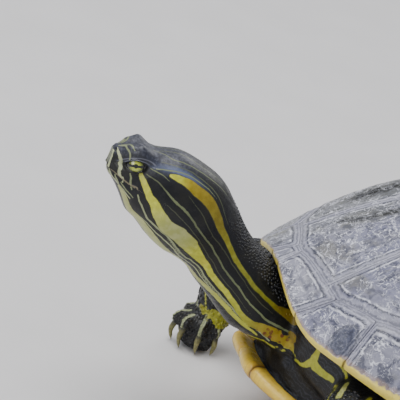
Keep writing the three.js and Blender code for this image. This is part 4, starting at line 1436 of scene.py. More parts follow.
def with_lids(local):
    reach, over = eye_reach(local)
    q = local - EYE_CENTRE
    radius = np.linalg.norm(q, axis=1)
    heavy = np.where(over > 0, UPPER_LID_SWELL, 0.0)
    lid = EYE_RADIUS + LID_THICKNESS + heavy * bell(reach, 1.15, 0.35)
    lid = lid - 0.32 * bell(reach, 1.62, 0.13) + 0.2 * bell(reach, 1.9, 0.2)
    lid = lid - 0.12 * bell(reach, 1.32, 0.07)
    back = q[:, 0] / radius
    lid = lid * (1 + 0.22 * np.maximum(back, 0) ** 2 * step(reach, 1.1, 2))
    sunk = EYE_RADIUS - SOCKET_DEPTH
    target = sunk + (lid - sunk) * step(reach, 0.9, 1.04)
    blend = 1 - step(reach, 1.5, np.where(over > 0, 2.5, 2.2))
    return EYE_CENTRE + q * ((radius + (target - radius) * blend) / radius)[:, None]


MOUTH = [(0.9, 0.0, -8.1), (1.6, 2.2, -8.3), (3.4, 5.4, -8.8), (6.9, 8.3, -9.6), (10, 10.2, -10.1),
         (12.4, 11.4, -9.6)]
mouth_line = nearest_on(guide_tree, from_local(spline(MOUTH, np.linspace(0, 1, 90)), 1))
mouth_local = head_local(mouth_line)


def line_distance(points, line):
    """Distance to a polyline and the number of its nearest point."""
    best, which = np.full(len(points), 1e9), np.zeros(len(points), int)
    for k, p in enumerate(line):
        d = np.sum((points - p) ** 2, axis=1)
        closer = d < best
        best[closer], which[closer] = d[closer], k
    return np.sqrt(best), which


LID_ROUNDS = 40
NOSTRIL, CHIN = (0.5, 2.0, -0.4), (1.2, 1.5, -8.5)
EARDRUM, EARDRUM_RADIUS = (25.5, 84), 4.4      # as (length along, degrees) and mm
face = on_head & (points[:, 1] < FACE_END_Y)
local = head_local(points[face])
normals = coordinates_of(flesh, "normal")[face]
away, which = line_distance(local, mouth_local)
above = local[:, 2] - mouth_local[which, 2]
side_of_line = np.sign(above) * away
front = step(local[:, 0], 14, 11.5)
beak = -0.5 * bell(side_of_line, 0, 0.3) + 0.3 * bell(side_of_line, 0.8, 0.5)
beak += -0.22 * bell(side_of_line, -0.7, 0.5)
beak += 0.12 * bell(side_of_line, -2.4, 1.1)
nostril = np.linalg.norm(local - NOSTRIL, axis=1)
pit = -1.1 * (1 - step(nostril, 0.35, 0.85)) + 0.15 * bell(nostril, 1.15, 0.35)
drum = np.linalg.norm(np.abs(points[face]) * (1, -1, 1) - on_neck(*EARDRUM), axis=1)
tympanum = -0.08 * bell(drum, EARDRUM_RADIUS, 0.9)
between_brows = -0.5 * bell(local[:, 1], 0, 3.2) * bell(local[:, 0], 9, 5) * (local[:, 2] > 0)
brow = np.linalg.norm((local - (14.5, 4.2, 2.2)) / (5.5, 3.2, 2.5), axis=1)
brow_front = np.linalg.norm((local - (6.4, 4.0, 2.2)) / (3.2, 2.8, 2.2), axis=1)
over_brow = 0.35 * np.exp(-brow ** 2) + 1.3 * np.exp(-brow_front ** 2)
chin = np.linalg.norm((local - CHIN) / 4, axis=1)
full_chin = 0.9 * np.exp(-chin ** 2)
relief = beak * front + pit + tympanum + between_brows + over_brow + full_chin
moved = head_local(points[face] + normals * relief[:, None])
moved[:, 1] = np.where(local[:, 1] < 0.3, local[:, 1], moved[:, 1])
moved = with_lids(moved)
points[face] = from_local(moved, np.where(points[face, 0] < 0, -1, 1))
set_coordinates(flesh, points)
reach, over = eye_reach(head_local(points))
loose = face * step(over, 0.4, 1.6) * step(reach, 1.7,
                                           2.4) * (1 - step(reach, 4, 6)) * (reach < 8.9)
points = relaxed(flesh, LID_ROUNDS, 0.6, 1 - loose)
print("face points:", int(face.sum()))

# %% [markdown]
# ## Folds
#
# Skin that has to stretch and bend is creased where it is slack: in rings round the base of
# the neck and under the throat, and in long creases between the plastron and the rim. They
# are waves whose phase wanders, so that no two creases run quite alike.

# %% Folds of the neck, throat and shoulders
BELLY_CLEARANCE, DEEPEST_SUNK = 0.12, 24.0
THROAT_FOLD, BASE_FOLD, NECK_FOLD, FRONT_FOLD, LEG_FOLD = 0.16, 0.5, 0.1, 0.3, 0.14


def crease(phase):
    """A wave with broad backs and narrow valleys."""
    return np.abs(np.sin(phase)) ** 0.7 - 0.6


points = coordinates_of(flesh)
normals = coordinates_of(flesh, "normal")
wander = ripple(points, 11, 2)
fine_wander = ripple(points, 4, 6)
neck_part = on_head * step(length_along, 34, 48)
throat = step(turned, 118, 150)
base = step(length_along, 84, 104) * on_head
folds = THROAT_FOLD * throat * neck_part * crease(length_along * 1.25 + 1.2 * wander + fine_wander)
folds += BASE_FOLD * base * crease(length_along * 0.5 + 1.1 * wander + 0.004 * turned)
folds += NECK_FOLD * neck_part * (1 - throat) * crease(np.radians(turned) * 15 / 0.9 + 1.3 * wander)
body = to_body(points)
in_front = (~on_head) & (points[:, 1] < -78) & (points[:, 2] > 18)
front_phase = body[:, 2] * 0.95 + body[:, 1] * 0.1 + 2.6 * wander + 2.2 * fine_wander
folds += in_front * FRONT_FOLD * step(ripple(points, 6, 9), -0.7, 0.5) * crease(front_phase)
legs = (points[:, 2] < 42) & ~on_head & ~in_front
folds += legs * LEG_FOLD * crease(points[:, 2] * 0.9 + 1.4 * wander)
floor_clear = step(points[:, 2], 0.6, 3.0)
points += normals * ((folds - COAT_DEPTH) * floor_clear)[:, None]
body = to_body(points)
front_line = np.array(FREE_LINES[0])
front_line[:, 0] *= spread(front_line[:, 1])
from_lip = seam_distance(np.abs(body[:, :2]) * (1, -1), front_line, closed=False)
above_lip = body[:, 2] - plastron_over(body[:, 0], body[:, 1])
lip_width = 5 + 4.5 * (1 - step(np.abs(body[:, 0]), 14, 32))
behind_lip = (body[:, 1] < -60) & (above_lip > -2) & (above_lip < 14) & ~legs
body[:, 1] += behind_lip * np.maximum(lip_width - from_lip, 0) * (1 - step(above_lip, 3, 13))
free_edge = np.array(FREE_FRONT[2:] + FREE_REAR[:-1])
half_width = np.interp(body[:, 1], free_edge[:, 1], free_edge[:, 0], left=0,
                       right=0) * spread(body[:, 1])
over_belly = plastron_over(body[:, 0], body[:, 1]) + BELLY_CLEARANCE
sunk = (np.abs(body[:, 0]) < half_width) & (body[:, 2] < over_belly) & (body[:, 2] > over_belly
                                                                        - DEEPEST_SUNK)
body[sunk, 2] = over_belly[sunk]
points[behind_lip | sunk] = from_body(body[behind_lip | sunk])
print("lifted onto the plastron:", int(sunk.sum()), "points")
points[:, 2] = np.maximum(points[:, 2], 0)
set_coordinates(flesh, points)
print("folds done")

# %% [markdown]
# ## Stripes as distances
#
# A slider's stripes are long, even bands, so each is a curve over the skin with a width that
# changes along it. Every point of the skin keeps its distance to the nearest band, and the
# material turns that into a crisp edge, however coarse the mesh is. Hair-thin lines keep the
# distance to either side of their middle as well, because a mesh would blur it.

# %% Stripes of the head and neck, as (length along, degrees from the nape line)
# Each band: its course, its half-widths in mm, how warm its yellow is and how light.
NECK_BANDS = [
    ([(11.6, 77), (13.6, 82), (18, 93), (22, 101), (26, 108), (32, 112), (38, 108), (45, 109),
      (51, 113), (57, 114), (64, 114), (74, 112), (85, 112), (91, 109), (96, 99), (101, 93),
      (106, 89), (110, 86)],
     [0.8, 1.15, 1.45, 1.9, 2.5, 3.2, 3.5, 3.3, 2.6, 1.7, 1.35, 1.25, 1.25, 1.5, 2.3, 3.0, 2.8,
      1.4],
     [0.25, 0.3, 0.35, 0.35, 0.25, 0.12, 0.08, 0.2, 0.4, 0.6, 0.45, 0.45, 0.5, 0.6, 0.8, 0.85, 0.8,
      0.7],
     [0.8, 1, 1.1, 1.1, 1, 0.85, 0.8, 0.9, 1, 1, 1, 0.95, 0.75, 0.6, 0.6, 0.7, 0.7, 0.6]),
    ([(21, 56), (24, 56), (28, 55), (32, 55), (37, 56), (42, 60), (46, 64), (50, 68), (57, 70),
      (64, 72), (74, 74), (80, 73), (86, 69), (92, 64), (98, 56), (103, 50)],
     [0.7, 1.4, 1.9, 2.3, 2.4, 2.2, 1.9, 1.5, 1.1, 0.95, 0.85, 0.8, 0.8, 1.1, 2.3, 2.2],
     [0.35, 0.5, 0.75, 0.8, 0.8, 0.75, 0.75, 0.7, 0.6, 0.55, 0.5, 0.45, 0.5, 0.7, 0.9, 1.0],
     [1, 0.85, 0.6, 0.5, 0.45, 0.45, 0.45, 0.5, 0.55, 0.5, 0.42, 0.4, 0.4, 0.4, 0.4, 0.35]),
    ([(6.8, 140), (12, 143), (19, 148), (25.5, 150), (32, 150), (42, 154), (52, 160), (59, 160),
      (65, 151), (71, 140), (80, 130), (90, 122), (97, 118)],
     [0.9, 2.0, 2.8, 3.0, 3.2, 3.4, 2.6, 2.0, 1.6, 1.5, 1.35, 1.1, 0.6],
     [0.0, 0.05, 0.05, 0.02, 0.0, 0.0, 0.05, 0.1, 0.15, 0.2, 0.3, 0.35, 0.4],
     [0.9]),
    ([(103, 76), (106, 74), (109, 72)], [0.7, 1.7, 1.0], [0.8, 0.95, 0.95], [0.4]),
    ([(12, 178), (22, 179), (36, 179), (50, 179), (64, 179), (80, 179)],
     [0.8, 1.5, 1.8, 1.7, 1.4, 1.0], [0.0, 0.05, 0.05, 0.05, 0.1, 0.2], [0.85]),
]
# The thin lines keep how bright they are instead.
NECK_LINES = [
    ([(13.6, 67), (17, 70), (20, 76), (23.5, 82), (27, 84), (32, 84), (36, 85), (40.5, 88),
      (46.5, 90), (52, 90), (57, 92), (69, 92), (80, 92), (87, 90), (93, 88), (98, 82), (103, 76)],
     [0.18, 0.22, 0.25, 0.35, 0.45, 0.5, 0.42, 0.36, 0.36, 0.36, 0.36, 0.4, 0.36, 0.36, 0.42, 0.45,
      0.4],
     [0.25, 0.25, 0.25, 0.35, 0.42, 0.38, 0.3, 0.35, 0.35, 0.35, 0.35, 0.35, 0.45, 0.5, 0.5, 0.5,
      0.5]),
    ([(14.4, 104), (17, 111), (20.5, 120), (25, 128), (31, 124), (37, 122), (42, 125), (50, 133),
      (54, 130), (63, 128), (74, 125), (84, 118), (90, 114), (95, 108), (101, 107)],
     [0.3, 0.35, 0.4, 0.45, 0.4, 0.45, 0.4, 0.45, 0.4, 0.4, 0.35, 0.4, 0.35, 0.4, 0.35], 0.7),
    ([(14, 10), (17, 14), (20, 25), (24, 26), (30, 25), (38, 24), (44, 25)],
     [0.15, 0.2, 0.25, 0.26, 0.26, 0.22, 0.15], 0.3),
    ([(16, 6), (20, 5), (26, 10), (33, 12), (42, 10)], [0.15, 0.2, 0.26, 0.22, 0.12], 0.25),
    ([(17, 36), (22, 38), (29, 36), (36, 38), (42, 44), (46, 50), (52, 56)],
     [0.15, 0.22, 0.24, 0.24, 0.22, 0.2, 0.12], 0.2),
    ([(16, 52), (18, 50), (21, 48), (26, 44), (33, 42), (40, 46)],
     [0.2, 0.26, 0.26, 0.22, 0.2, 0.1], 0.4),
    ([(30, 68), (38, 74), (45, 80), (52, 82), (60, 80), (66, 80), (76, 82), (86, 80), (94, 74)],
     [0.1, 0.18, 0.22, 0.22, 0.22, 0.22, 0.2, 0.2, 0.1], 0.12),
    ([(24, 92), (31, 92), (39, 93), (46, 96), (54, 100), (64, 102), (78, 101), (88, 99)],
     [0.1, 0.2, 0.2, 0.22, 0.22, 0.2, 0.18, 0.1], 0.12),
    ([(22, 137), (28, 135), (36, 131), (42, 131), (50, 142), (55, 140), (64, 136), (74, 131),
      (84, 124), (92, 119)], [0.15, 0.3, 0.35, 0.35, 0.35, 0.3, 0.3, 0.3, 0.28, 0.15], 0.75),
    ([(26, 168), (38, 169), (52, 170), (60, 170), (72, 164), (84, 156)],
     [0.15, 0.3, 0.35, 0.3, 0.3, 0.2], 0.6),
]
# Lines of the face, back, out and up from the snout's tip.
FACE_LINES = [
    ([(0.9, 2.7, 0.2), (1.3, 3.3, -0.2), (2.5, 5.2, -1.5), (3.5, 6.2, -2.8), (4.6, 6.7, -5),
      (4.7, 7.1, -6.8), (6.3, 7.7, -8.8), (7.4, 8, -9.6)],
     [0.25, 0.45, 0.6, 0.7, 0.7, 0.65, 0.5, 0.3], 0.85),
    ([(1.6, 1.4, 2), (2.6, 2, 2.2), (4, 2.9, 2.4), (5, 4.5, 2.2), (5.5, 5.8, 1.7), (6, 7, 0.5),
      (6.2, 7.4, -0.4)], [0.3, 0.35, 0.4, 0.4, 0.4, 0.35, 0.25], 0.6),
    ([(2.2, 0.6, 2.6), (3.6, 1.4, 3.2), (5, 2.6, 3.4), (6, 4.4, 3.5), (6.8, 6.2, 3.2)],
     [0.15, 0.25, 0.3, 0.3, 0.2], 0.45),
    ([(8.4, 9.3, -5.6), (9.3, 9.6, -6.8), (9.9, 9.8, -8), (10.8, 9.8, -9.8), (11.4, 9.8, -10.6)],
     [0.25, 0.4, 0.45, 0.4, 0.3], 0.6),
    ([(0.6, 2, -0.8), (0.7, 2.1, -2.4), (1, 2.4, -4.6), (1.3, 2.8, -6.6), (1.5, 3, -7.6)],
     [0.3, 0.5, 0.6, 0.6, 0.5], 0.9),
    ([(0.5, 0.3, -1), (0.6, 0.4, -3.4), (0.8, 0.5, -6.6)], [0.2, 0.3, 0.3], 0.5),
    ([(1.2, 0.8, -9.4), (2.6, 3, -10.8), (5.4, 5.6, -12.2), (9, 7.6, -13.6), (13, 9, -14.6)],
     [0.3, 0.4, 0.45, 0.4, 0.25], 0.8),
    ([(15, 9.1, -0.2), (17.4, 10.5, -0.1), (19.4, 11.4, -0.2), (22.9, 12.8, -0.8)],
     [0.15, 0.22, 0.22, 0.1], 0.35),
    ([(2.2, 3, -8.8), (2.8, 3.8, -9.8), (3.6, 4.6, -11)], [0.3, 0.45, 0.3], 0.8),
    ([(4.2, 5.8, -9.6), (5, 6.4, -10.8), (6, 6.8, -11.8)], [0.25, 0.4, 0.25], 0.7),
    ([(6.6, 8.6, -11), (8, 9.2, -12.2), (10, 9.8, -13.2), (13, 10.6, -13.6)], [0.2, 0.3, 0.3, 0.2],
     0.6),
]

# %% Stripes of the shoulders and legs, in the standing frame
BODY_BANDS = [
    ([(8, -121, 42), (13, -118.5, 43.5), (19, -111, 43), (27, -101, 43.5), (33, -99.5, 48.4)],
     [0.5, 0.6, 0.55, 0.7, 1.8], [0.5, 0.5, 0.45, 0.45, 0.5]),
    ([(33, -99.5, 48.4), (34, -99.3, 52), (34.5, -99, 56)], [2.4, 1.7, 0.9], [0.5, 0.5, 0.5]),
    ([(33, -99.5, 48.4), (39, -98, 47.5), (46, -96, 48), (51.5, -94.2, 49.2)], [2.4, 1.6, 1.1, 0.6],
     [0.5, 0.45, 0.45, 0.4]),
    ([(34.5, -99, 56), (40, -96, 57), (45, -93, 55), (49.5, -90.1, 52.3)], [0.8, 0.8, 0.9, 0.6],
     [0.5, 0.45, 0.4, 0.4]),
    ([(54.6, -91.2, 52.9), (60, -94.5, 52.6), (65.5, -97.3, 51.9)], [0.9, 1.2, 1.1],
     [0.15, 0.1, 0.15]),
    ([(-58.5, -121, 20.5), (-55.9, -118.6, 19.2), (-54.3, -115.1, 18.8), (-53.8, -111.5, 16.7),
      (-55, -107.8, 15.8)],
     [1.0, 2.0, 3.0, 3.2, 2.2], [0.6, 0.5, 0.45, 0.45, 0.5], [0.5, 0.55, 0.6, 0.6, 0.5]),
]


def on_skin(tree, points):
    found = [tree.find_nearest(Vector(p)) for p in points]
    return np.array([f[0] for f in found]), np.array([f[1] for f in found])


def laid(tree, control, values, surface=None):
    """Samples of a stripe on the skin: place, side vector and each value along it."""
    t_in = np.linspace(0, 1, len(control))
    rough = spline(control, np.linspace(0, 1, 30 * len(control)))
    rough = surface(rough) if surface is not None else rough
    length = length_of(rough)
    even = np.interp(np.linspace(0, length[-1], max(4, int(length[-1] / 0.3))), length,
                     np.linspace(0, 1, len(rough)))
    place = spline(control, even)
    place = surface(place) if surface is not None else place
    place, normal = on_skin(tree, place)
    tangent = unit(np.gradient(place, axis=0))
    side = unit(np.cross(normal, tangent))
    return place, side, [np.interp(even, t_in, np.broadcast_to(v, len(control))) for v in values]


class Stripes:
    """Many laid stripes, gathered so that the nearest sample of any can be found."""
    def __init__(self):
        self.rows = []

    def add(self, tree, control, widths, warm, light=0.75, surface=None):
        place, side, values = laid(tree, control, (widths, warm, light), surface)
        self.rows.append(np.column_stack([place, side, *values]))

    def fields(self, points):
        rows = np.vstack(self.rows)
        which, away = nearest_with_distance(find_tree(rows[:, :3]), points)
        near = rows[which]
        offset = np.sum((points - near[:, :3]) * near[:, 3:6], axis=1)
        return away, offset, near[:, 6], near[:, 7], near[:, 8]


skin_bm = bmesh.new()
skin_bm.from_mesh(flesh)
skin_tree = BVHTree.FromBMesh(skin_bm)
skin_bm.free()
bands, lines = Stripes(), Stripes()
on_left_neck = lambda table: on_neck(table[:, 0], table[:, 1])
on_left_face = lambda table: from_local(table, 1)
for control, widths, warm, light in NECK_BANDS:
    bands.add(skin_tree, control, widths, warm, light, on_left_neck)
for control, widths, *colour in BODY_BANDS:
    bands.add(skin_tree, control, widths, *colour)
for control, widths, warm in NECK_LINES:
    lines.add(skin_tree, control, widths, warm, 1, on_left_neck)
for control, widths, warm in FACE_LINES:
    lines.add(skin_tree, control, widths, warm, 1, on_left_face)


# Bands of a leg: degrees round it, half-widths along it and how warm.
LEG_BANDS = [(100, (0.7, 1.3, 1.5, 1.2, 0.5), 0.35), (200, (0.4, 0.6, 0.6, 0.5, 0.3), 0.3),
             (20, (0.3, 0.5, 0.6, 0.5, 0.3), 0.3), (290, (0.6, 1.0, 1.2, 1.0, 0.4), 0.4)]


def leg_stripes(foot):
    """Bands down the front and back of a leg and a pale line over each digit."""
    for turn, widths, warm in LEG_BANDS:
        u = np.array([0.25, 0.42, 0.6, 0.78, 0.94])
        centre, across, upward = tube_frame(foot.path, u)
        angle = math.radians(turn)
        control = centre + (across * math.cos(angle) + upward * math.sin(angle)) * eased(foot.radii,
                                                                                         u)[:, None]
        bands.add(skin_tree, control, widths, warm)
    for i in range(5):
        root, knuckle, tip, _ = foot.digit_points(i)
        control = np.array([root + (0, 0, 6), knuckle + (0, 0, 6),
                            tip + (tip - root) * 0.25 + (0, 0, 2)])
        lines.add(skin_tree, control, (0.35, 0.8, 0.6), 0.7)


for foot in FEET.values():
    leg_stripes(foot)

# %% Fields of the skin
MIRROR_ABOVE, MIRROR_AHEAD, SWAY, BAND_REACH, LINE_REACH = 30, -80, 0.22, 6, 30


def marking_fields(points):
    """The stripe fields of any points on or just over the skin."""
    sway = SWAY * np.stack([ripple(points, 4.5, s) for s in (1, 3, 5)], -1)
    both = (points[:, 2] > MIRROR_ABOVE) & (points[:, 1] < MIRROR_AHEAD)      # mirrored here
    looked = points + sway
    looked[:, 0] = np.where(both, np.abs(looked[:, 0]), looked[:, 0])
    away, _, width, warm, light = bands.fields(looked)
    band = np.clip(width - away, -BAND_REACH, BAND_REACH)
    thin_away, thin_offset, thin_width, thin_warm, _ = lines.fields(looked)
    return {"band": band, "warm": warm, "light": light,
            "line_off": np.clip(thin_offset / thin_width, -LINE_REACH, LINE_REACH),
            "line_away": np.clip(thin_away / thin_width, 0, LINE_REACH), "line_bright": thin_warm}


points = coordinates_of(flesh)
fields = marking_fields(points)
local = head_local(points)
reach, over = eye_reach(local)
near_eye = on_head & (points[:, 1] < -170)
fields["lid"] = np.where(near_eye, np.clip(reach, 0, 6), 6)
fields["over_eye"] = np.where(near_eye, over, 0)
mouth_away, which = line_distance(local[near_eye], mouth_local)
fields["mouth"] = np.full(len(points), 9.0)
fields["mouth"][near_eye] = np.clip(mouth_away
                                    * np.sign(local[near_eye, 2] - mouth_local[which, 2]), -9, 9)
# painted sheen: the top of the head is tinted bluish-grey, where the skin reflects the sky
fields["head_top_sheen"] = (1 - step(turned, 30, 75)) * (1 - step(length_along, 18, 36)) * on_head
# painted highlight: a pale blue patch at the temple, where the smooth skin reflects the sky
fields["temple_highlight"] = on_head * np.exp(-((length_along - 24) / 8) ** 2 - ((turned - 46) / 6.5) ** 2)
body = to_body(points)
fields["front"] = (~on_head) * step(-points[:, 1], 70, 84) * step(points[:, 2], 14, 22)
over_plastron = body[:, 2] - plastron_over(body[:, 0], body[:, 1])
fields["streak"] = over_plastron + 0.12 * np.abs(body[:, 0]) + 0.5 * ripple(points, 9, 4)
print("stripes laid:", len(bands.rows), "bands and", len(lines.rows), "lines")

# %% [markdown]
# ## The finish of skin
#
# A slider's skin is nearly black with an olive cast, and it shines softly because it is
# fine-grained and a little moist. The bluish-grey bloom on the top of the head and the blue at the
# temple are painted sheen and a painted highlight, where the skin reflects the sky. The grain is
# tiny cells, too small to model, so it is a bump; the folds and scales are real.

# %% Skin finish
# Colours of the skin; a pair is mixed by a noise.
SKIN_BLACKS = ((0.0040, 0.0045, 0.0065), (0.011, 0.0105, 0.009))
DUST = (0.021, 0.021, 0.022)
SCALE_PALE = (0.030, 0.031, 0.036)
SCALE_BROWN = (0.026, 0.024, 0.014)
# painted sheen for the top of the head, a pair mixed by a noise
HEAD_TOP_PAINTED_SHEEN = ((0.028, 0.030, 0.046), (0.085, 0.09, 0.12))
# painted highlight: the blue of the temple, a reflection of the sky painted into the skin
TEMPLE_PAINTED_HIGHLIGHT = (0.13, 0.165, 0.30)
SLACK_BLACK = (0.0035, 0.004, 0.006)
SLACK_STROKE = (0.060, 0.068, 0.095)
LID_TONES = ((0.040, 0.041, 0.055), (0.24, 0.25, 0.31))
COOL_YELLOWS = ((0.40, 0.42, 0.13), (0.52, 0.53, 0.22))
LEMONS = ((0.48, 0.485, 0.03), (0.63, 0.635, 0.065))
ORANGES = ((0.46, 0.31, 0.008), (0.58, 0.41, 0.02))
RUST = (0.16, 0.045, 0.012)
BAND_BORDER = (0.05, 0.05, 0.02)
LINE_FAINT = ((0.060, 0.066, 0.036), (0.20, 0.23, 0.11))
LINE_BRIGHT = (0.50, 0.53, 0.30)
LIP_TAN = (0.27, 0.23, 0.14)
MOUTH_DARK = (0.012, 0.01, 0.009)
# the lids' own dark margin, and above the eye a painted shadow of the upper lid
EYE_RIM_AND_LID_SHADOW = (0.006, 0.006, 0.006)


def skin_finish(name, scaly=False):
    f = Finish(name, Specular_IOR_Level=0.36, Coat_Weight=0.25 if scaly else 0.1,
               Coat_Roughness=0.2)
    band, warm = f.field("band"), f.field("warm")
    grain = f.noise(2.2, 4.0)
    dark = f.mix(f.remap(f.noise(9, 4.0), 0.4, 0.65), *SKIN_BLACKS)
    dark = f.mix(f.remap(f.noise(1.4, 3.0), 0.55, 0.75, 0, 0.5), dark, DUST)
    if scaly:
        tone = f.field("tone")
        dark = f.mix(f.remap(tone, 0.3, 1.0, 0, 0.6), dark, SCALE_PALE)
        dark = f.mix(f.remap(tone, 0.35, 0.0, 0, 0.5), dark, SCALE_BROWN)
    else:
        # painted sheen over the top of the head
        painted_sheen = f.mix(f.remap(f.noise(1.2, 4.0), 0.4, 0.7), *HEAD_TOP_PAINTED_SHEEN)
        dark = f.mix(f.times(f.field("head_top_sheen"), 0.8), dark, painted_sheen)
        # painted highlight at the temple
        dark = f.mix(f.times(f.field("temple_highlight"), 0.75), dark, TEMPLE_PAINTED_HIGHLIGHT)
        streaks = f.sine(f.math("MULTIPLY_ADD", f.field("streak"), 3.4,
                                f.times(f.noise(4.5, 4.0, distortion=0.8), 22)))
        dark = f.mix(f.times(f.field("front"), 0.8), dark, SLACK_BLACK)
        dark = f.mix(f.times(f.remap(streaks, 0.3, 0.95, 0, 0.3), f.field("front")), dark,
                     SLACK_STROKE)
        lid, over = f.field("lid"), f.field("over_eye")
        lid_part = f.times(f.remap(lid, 2.5, 1.9), f.remap(over, 0.3, 1.2))
        lid_lines = f.remap(f.sine(f.times(f.minus(lid, 1.2), 10.5)), 0.1, 0.9)
        lid_tone = f.mix(f.times(lid_lines, 0.55), *LID_TONES)
        dark = f.mix(f.times(lid_part, 0.9), dark, lid_tone)
    cool = f.mix(f.remap(f.noise(3, 4.0), 0.35, 0.7), *COOL_YELLOWS)
    lemon = f.mix(f.remap(grain, 0.35, 0.7), *LEMONS)
    orange = f.mix(f.remap(grain, 0.35, 0.7), *ORANGES)
    yellow = f.mix(f.remap(warm, 0.05, 0.4), cool, lemon)
    yellow = f.mix(f.remap(warm, 0.45, 0.9), yellow, orange)
    yellow = f.mix(1, yellow, f.field("light"), blend="MULTIPLY")
    dots = f.remap(f.cells(2.4), 0.42, 0.25)
    dots = f.times(dots, f.remap(f.noise(4, 2.0), 0.42, 0.55))
    yellow = f.mix(f.times(dots, f.times(f.remap(warm, 0.6, 0.8),
                                         f.remap(f.field("along"), 84, 90))), yellow, RUST)
    ragged = f.plus(band, f.times(f.minus(f.noise(0.8, 3.0), 0.5), 0.35))
    colour = f.mix(f.remap(ragged, -0.14, 0.12), dark, yellow)
    colour = f.mix(f.times(f.remap(ragged, -0.5, -0.1), f.remap(ragged, 0.05, -0.1, 0, 0.6)),
                   colour, BAND_BORDER)
    side, away = f.field("line_off"), f.field("line_away")
    thin_break = f.times(f.minus(f.noise(1.2, 2.0), 0.5), 0.9)
    thin = f.remap(f.plus(f.size(side), thin_break), 1.25, 0.7)
    thin = f.times(thin, f.remap(away, 2.4, 1.6))
    thin = f.times(thin, f.remap(ragged, 0.1, -0.3))
    bright = f.field("line_bright")
    pale = f.mix(f.remap(bright, 0.1, 0.5), *LINE_FAINT)
    pale = f.mix(f.remap(bright, 0.5, 0.95), pale, LINE_BRIGHT)
    colour = f.mix(f.times(thin, 0.9), colour, pale)
    if not scaly:
        mouth = f.field("mouth")
        lips = f.times(f.remap(mouth, 0.25, 0.5), f.remap(mouth, 1.15, 0.8))
        colour = f.mix(f.times(lips, 0.75), colour, LIP_TAN)
        colour = f.mix(f.remap(f.size(mouth), 0.32, 0.1, 0, 0.9), colour, MOUTH_DARK)
        # black rim round the opening: the lower lid's own dark, and above it a painted shadow of
        # the upper lid
        rim = f.mix(f.remap(over, -0.2, 0.3), f.remap(lid, 1.45, 1.2), f.remap(lid, 1.24, 1.14))
        colour = f.mix(f.times(rim, 0.92), colour, EYE_RIM_AND_LID_SHADOW)
    cells = f.cells(0.62, "DISTANCE_TO_EDGE")
    height = f.plus(f.times(f.remap(cells, 0.0, 0.25), 0.5), f.times(f.noise(0.45, 3.0), 0.5))
    wrinkle = f.noise(1.6, 4.0, f.warped(5, 1.0), 0.6)
    height = f.plus(height, f.times(wrinkle, 0.9))
    smooth_head = f.remap(f.field("along"), 20, 48, 0.35, 1.0)
    normal = f.bump(f.times(height, smooth_head), 0.12, 0.75)
    rough = f.remap(f.noise(3, 3.0), 0.35, 0.7, 0.33, 0.5)
    return f.done(Base_Color=colour, Normal=normal, Roughness=rough)


skin_material = skin_finish("slider skin")
BODY_ALONG = 130.0      # stored where the skin is not the head's or the neck's
fields["along"] = np.minimum(length_along, BODY_ALONG)
flesh_nodes = ("trunk", "neck", "head", "foreleg_left", "foreleg_right", "hindleg_left",
               "hindleg_right", "tail")
final = bmesh.new()
final.from_mesh(flesh)
skin = piece(final, "skin", skin_material, flesh_nodes, "skin", **fields)
print("skin:", len(skin.data.polygons), "faces")

# %% [markdown]
# ## Eyes and claws
#
# A slider's iris is yellow-green with a level black bar through the pupil, which hides the
# eye in the stripes of the face. The ball is one closed sphere whose pole looks outward; the
# pattern follows two lengths stored on it, along the lids and over the middle. Claws are
# tapered, curved bars of horn rooted in the ends of the digits.

# %% Eyes
PUPIL, IRIS, BAR = 0.85, 2.9, 0.5
LOOK_LOW = -0.3


# Colours of the eye.
IRIS_GREENS = ((0.34, 0.40, 0.012), (0.62, 0.70, 0.05))
IRIS_EDGE = (0.12, 0.14, 0.008)
EYE_BLACK = (0.006, 0.006, 0.005)
BAR_BLACK = (0.004, 0.004, 0.003)
PUPIL_BLACK = (0.001, 0.001, 0.001)


def eye_finish():
    f = Finish("turtle eye", Roughness=0.16, Coat_Weight=1.0, Coat_Roughness=0.03,
               Specular_IOR_Level=0.6)
    along, over = f.field("along"), f.field("over")
    out = f.math("SQRT", f.plus(f.times(along, along), f.times(over, over)))
    streaks = f.noise(0.5, 3.0)
    bright = f.mix(f.remap(streaks, 0.35, 0.65), *IRIS_GREENS)
    colour = f.mix(f.remap(out, 1.2, IRIS - 0.3), bright, IRIS_EDGE)
    ragged = f.plus(out, f.times(f.minus(streaks, 0.5), 0.3))
    colour = f.mix(f.remap(ragged, IRIS - 0.2, IRIS + 0.05), colour, EYE_BLACK)
    bar_edge = f.plus(f.size(over), f.times(f.minus(streaks, 0.5), 0.35))
    bar = f.remap(bar_edge, BAR + 0.14, BAR - 0.1)
    colour = f.mix(bar, colour, BAR_BLACK)
    colour = f.mix(f.remap(out, PUPIL + 0.08, PUPIL - 0.05), colour, PUPIL_BLACK)
    return f.done(Base_Color=colour)


eye_material = eye_finish()
for side, name in ((1, "eye_left"), (-1, "eye_right")):
    bm = unit_ball(64, 40, EYE_RADIUS - 0.08)
    q = places(bm)
    local = EYE_CENTRE + q[:, :1] * EYE_LONG + q[:, 1:2] * EYE_OVER + q[:, 2:] * EYE_AHEAD
    move_to(bm, from_local(local, side))
    piece(faced(bm), name, eye_material, (name,), "eye", along=q[:, 0], over=q[:, 1] - LOOK_LOW)
print("eyes made")

# %% Claws
# Colours of the claws.
CLAW_HORNS = ((0.13, 0.12, 0.035), (0.25, 0.23, 0.075))
CLAW_ROOT = (0.028, 0.030, 0.020)
CLAW_TIP = (0.30, 0.26, 0.13)


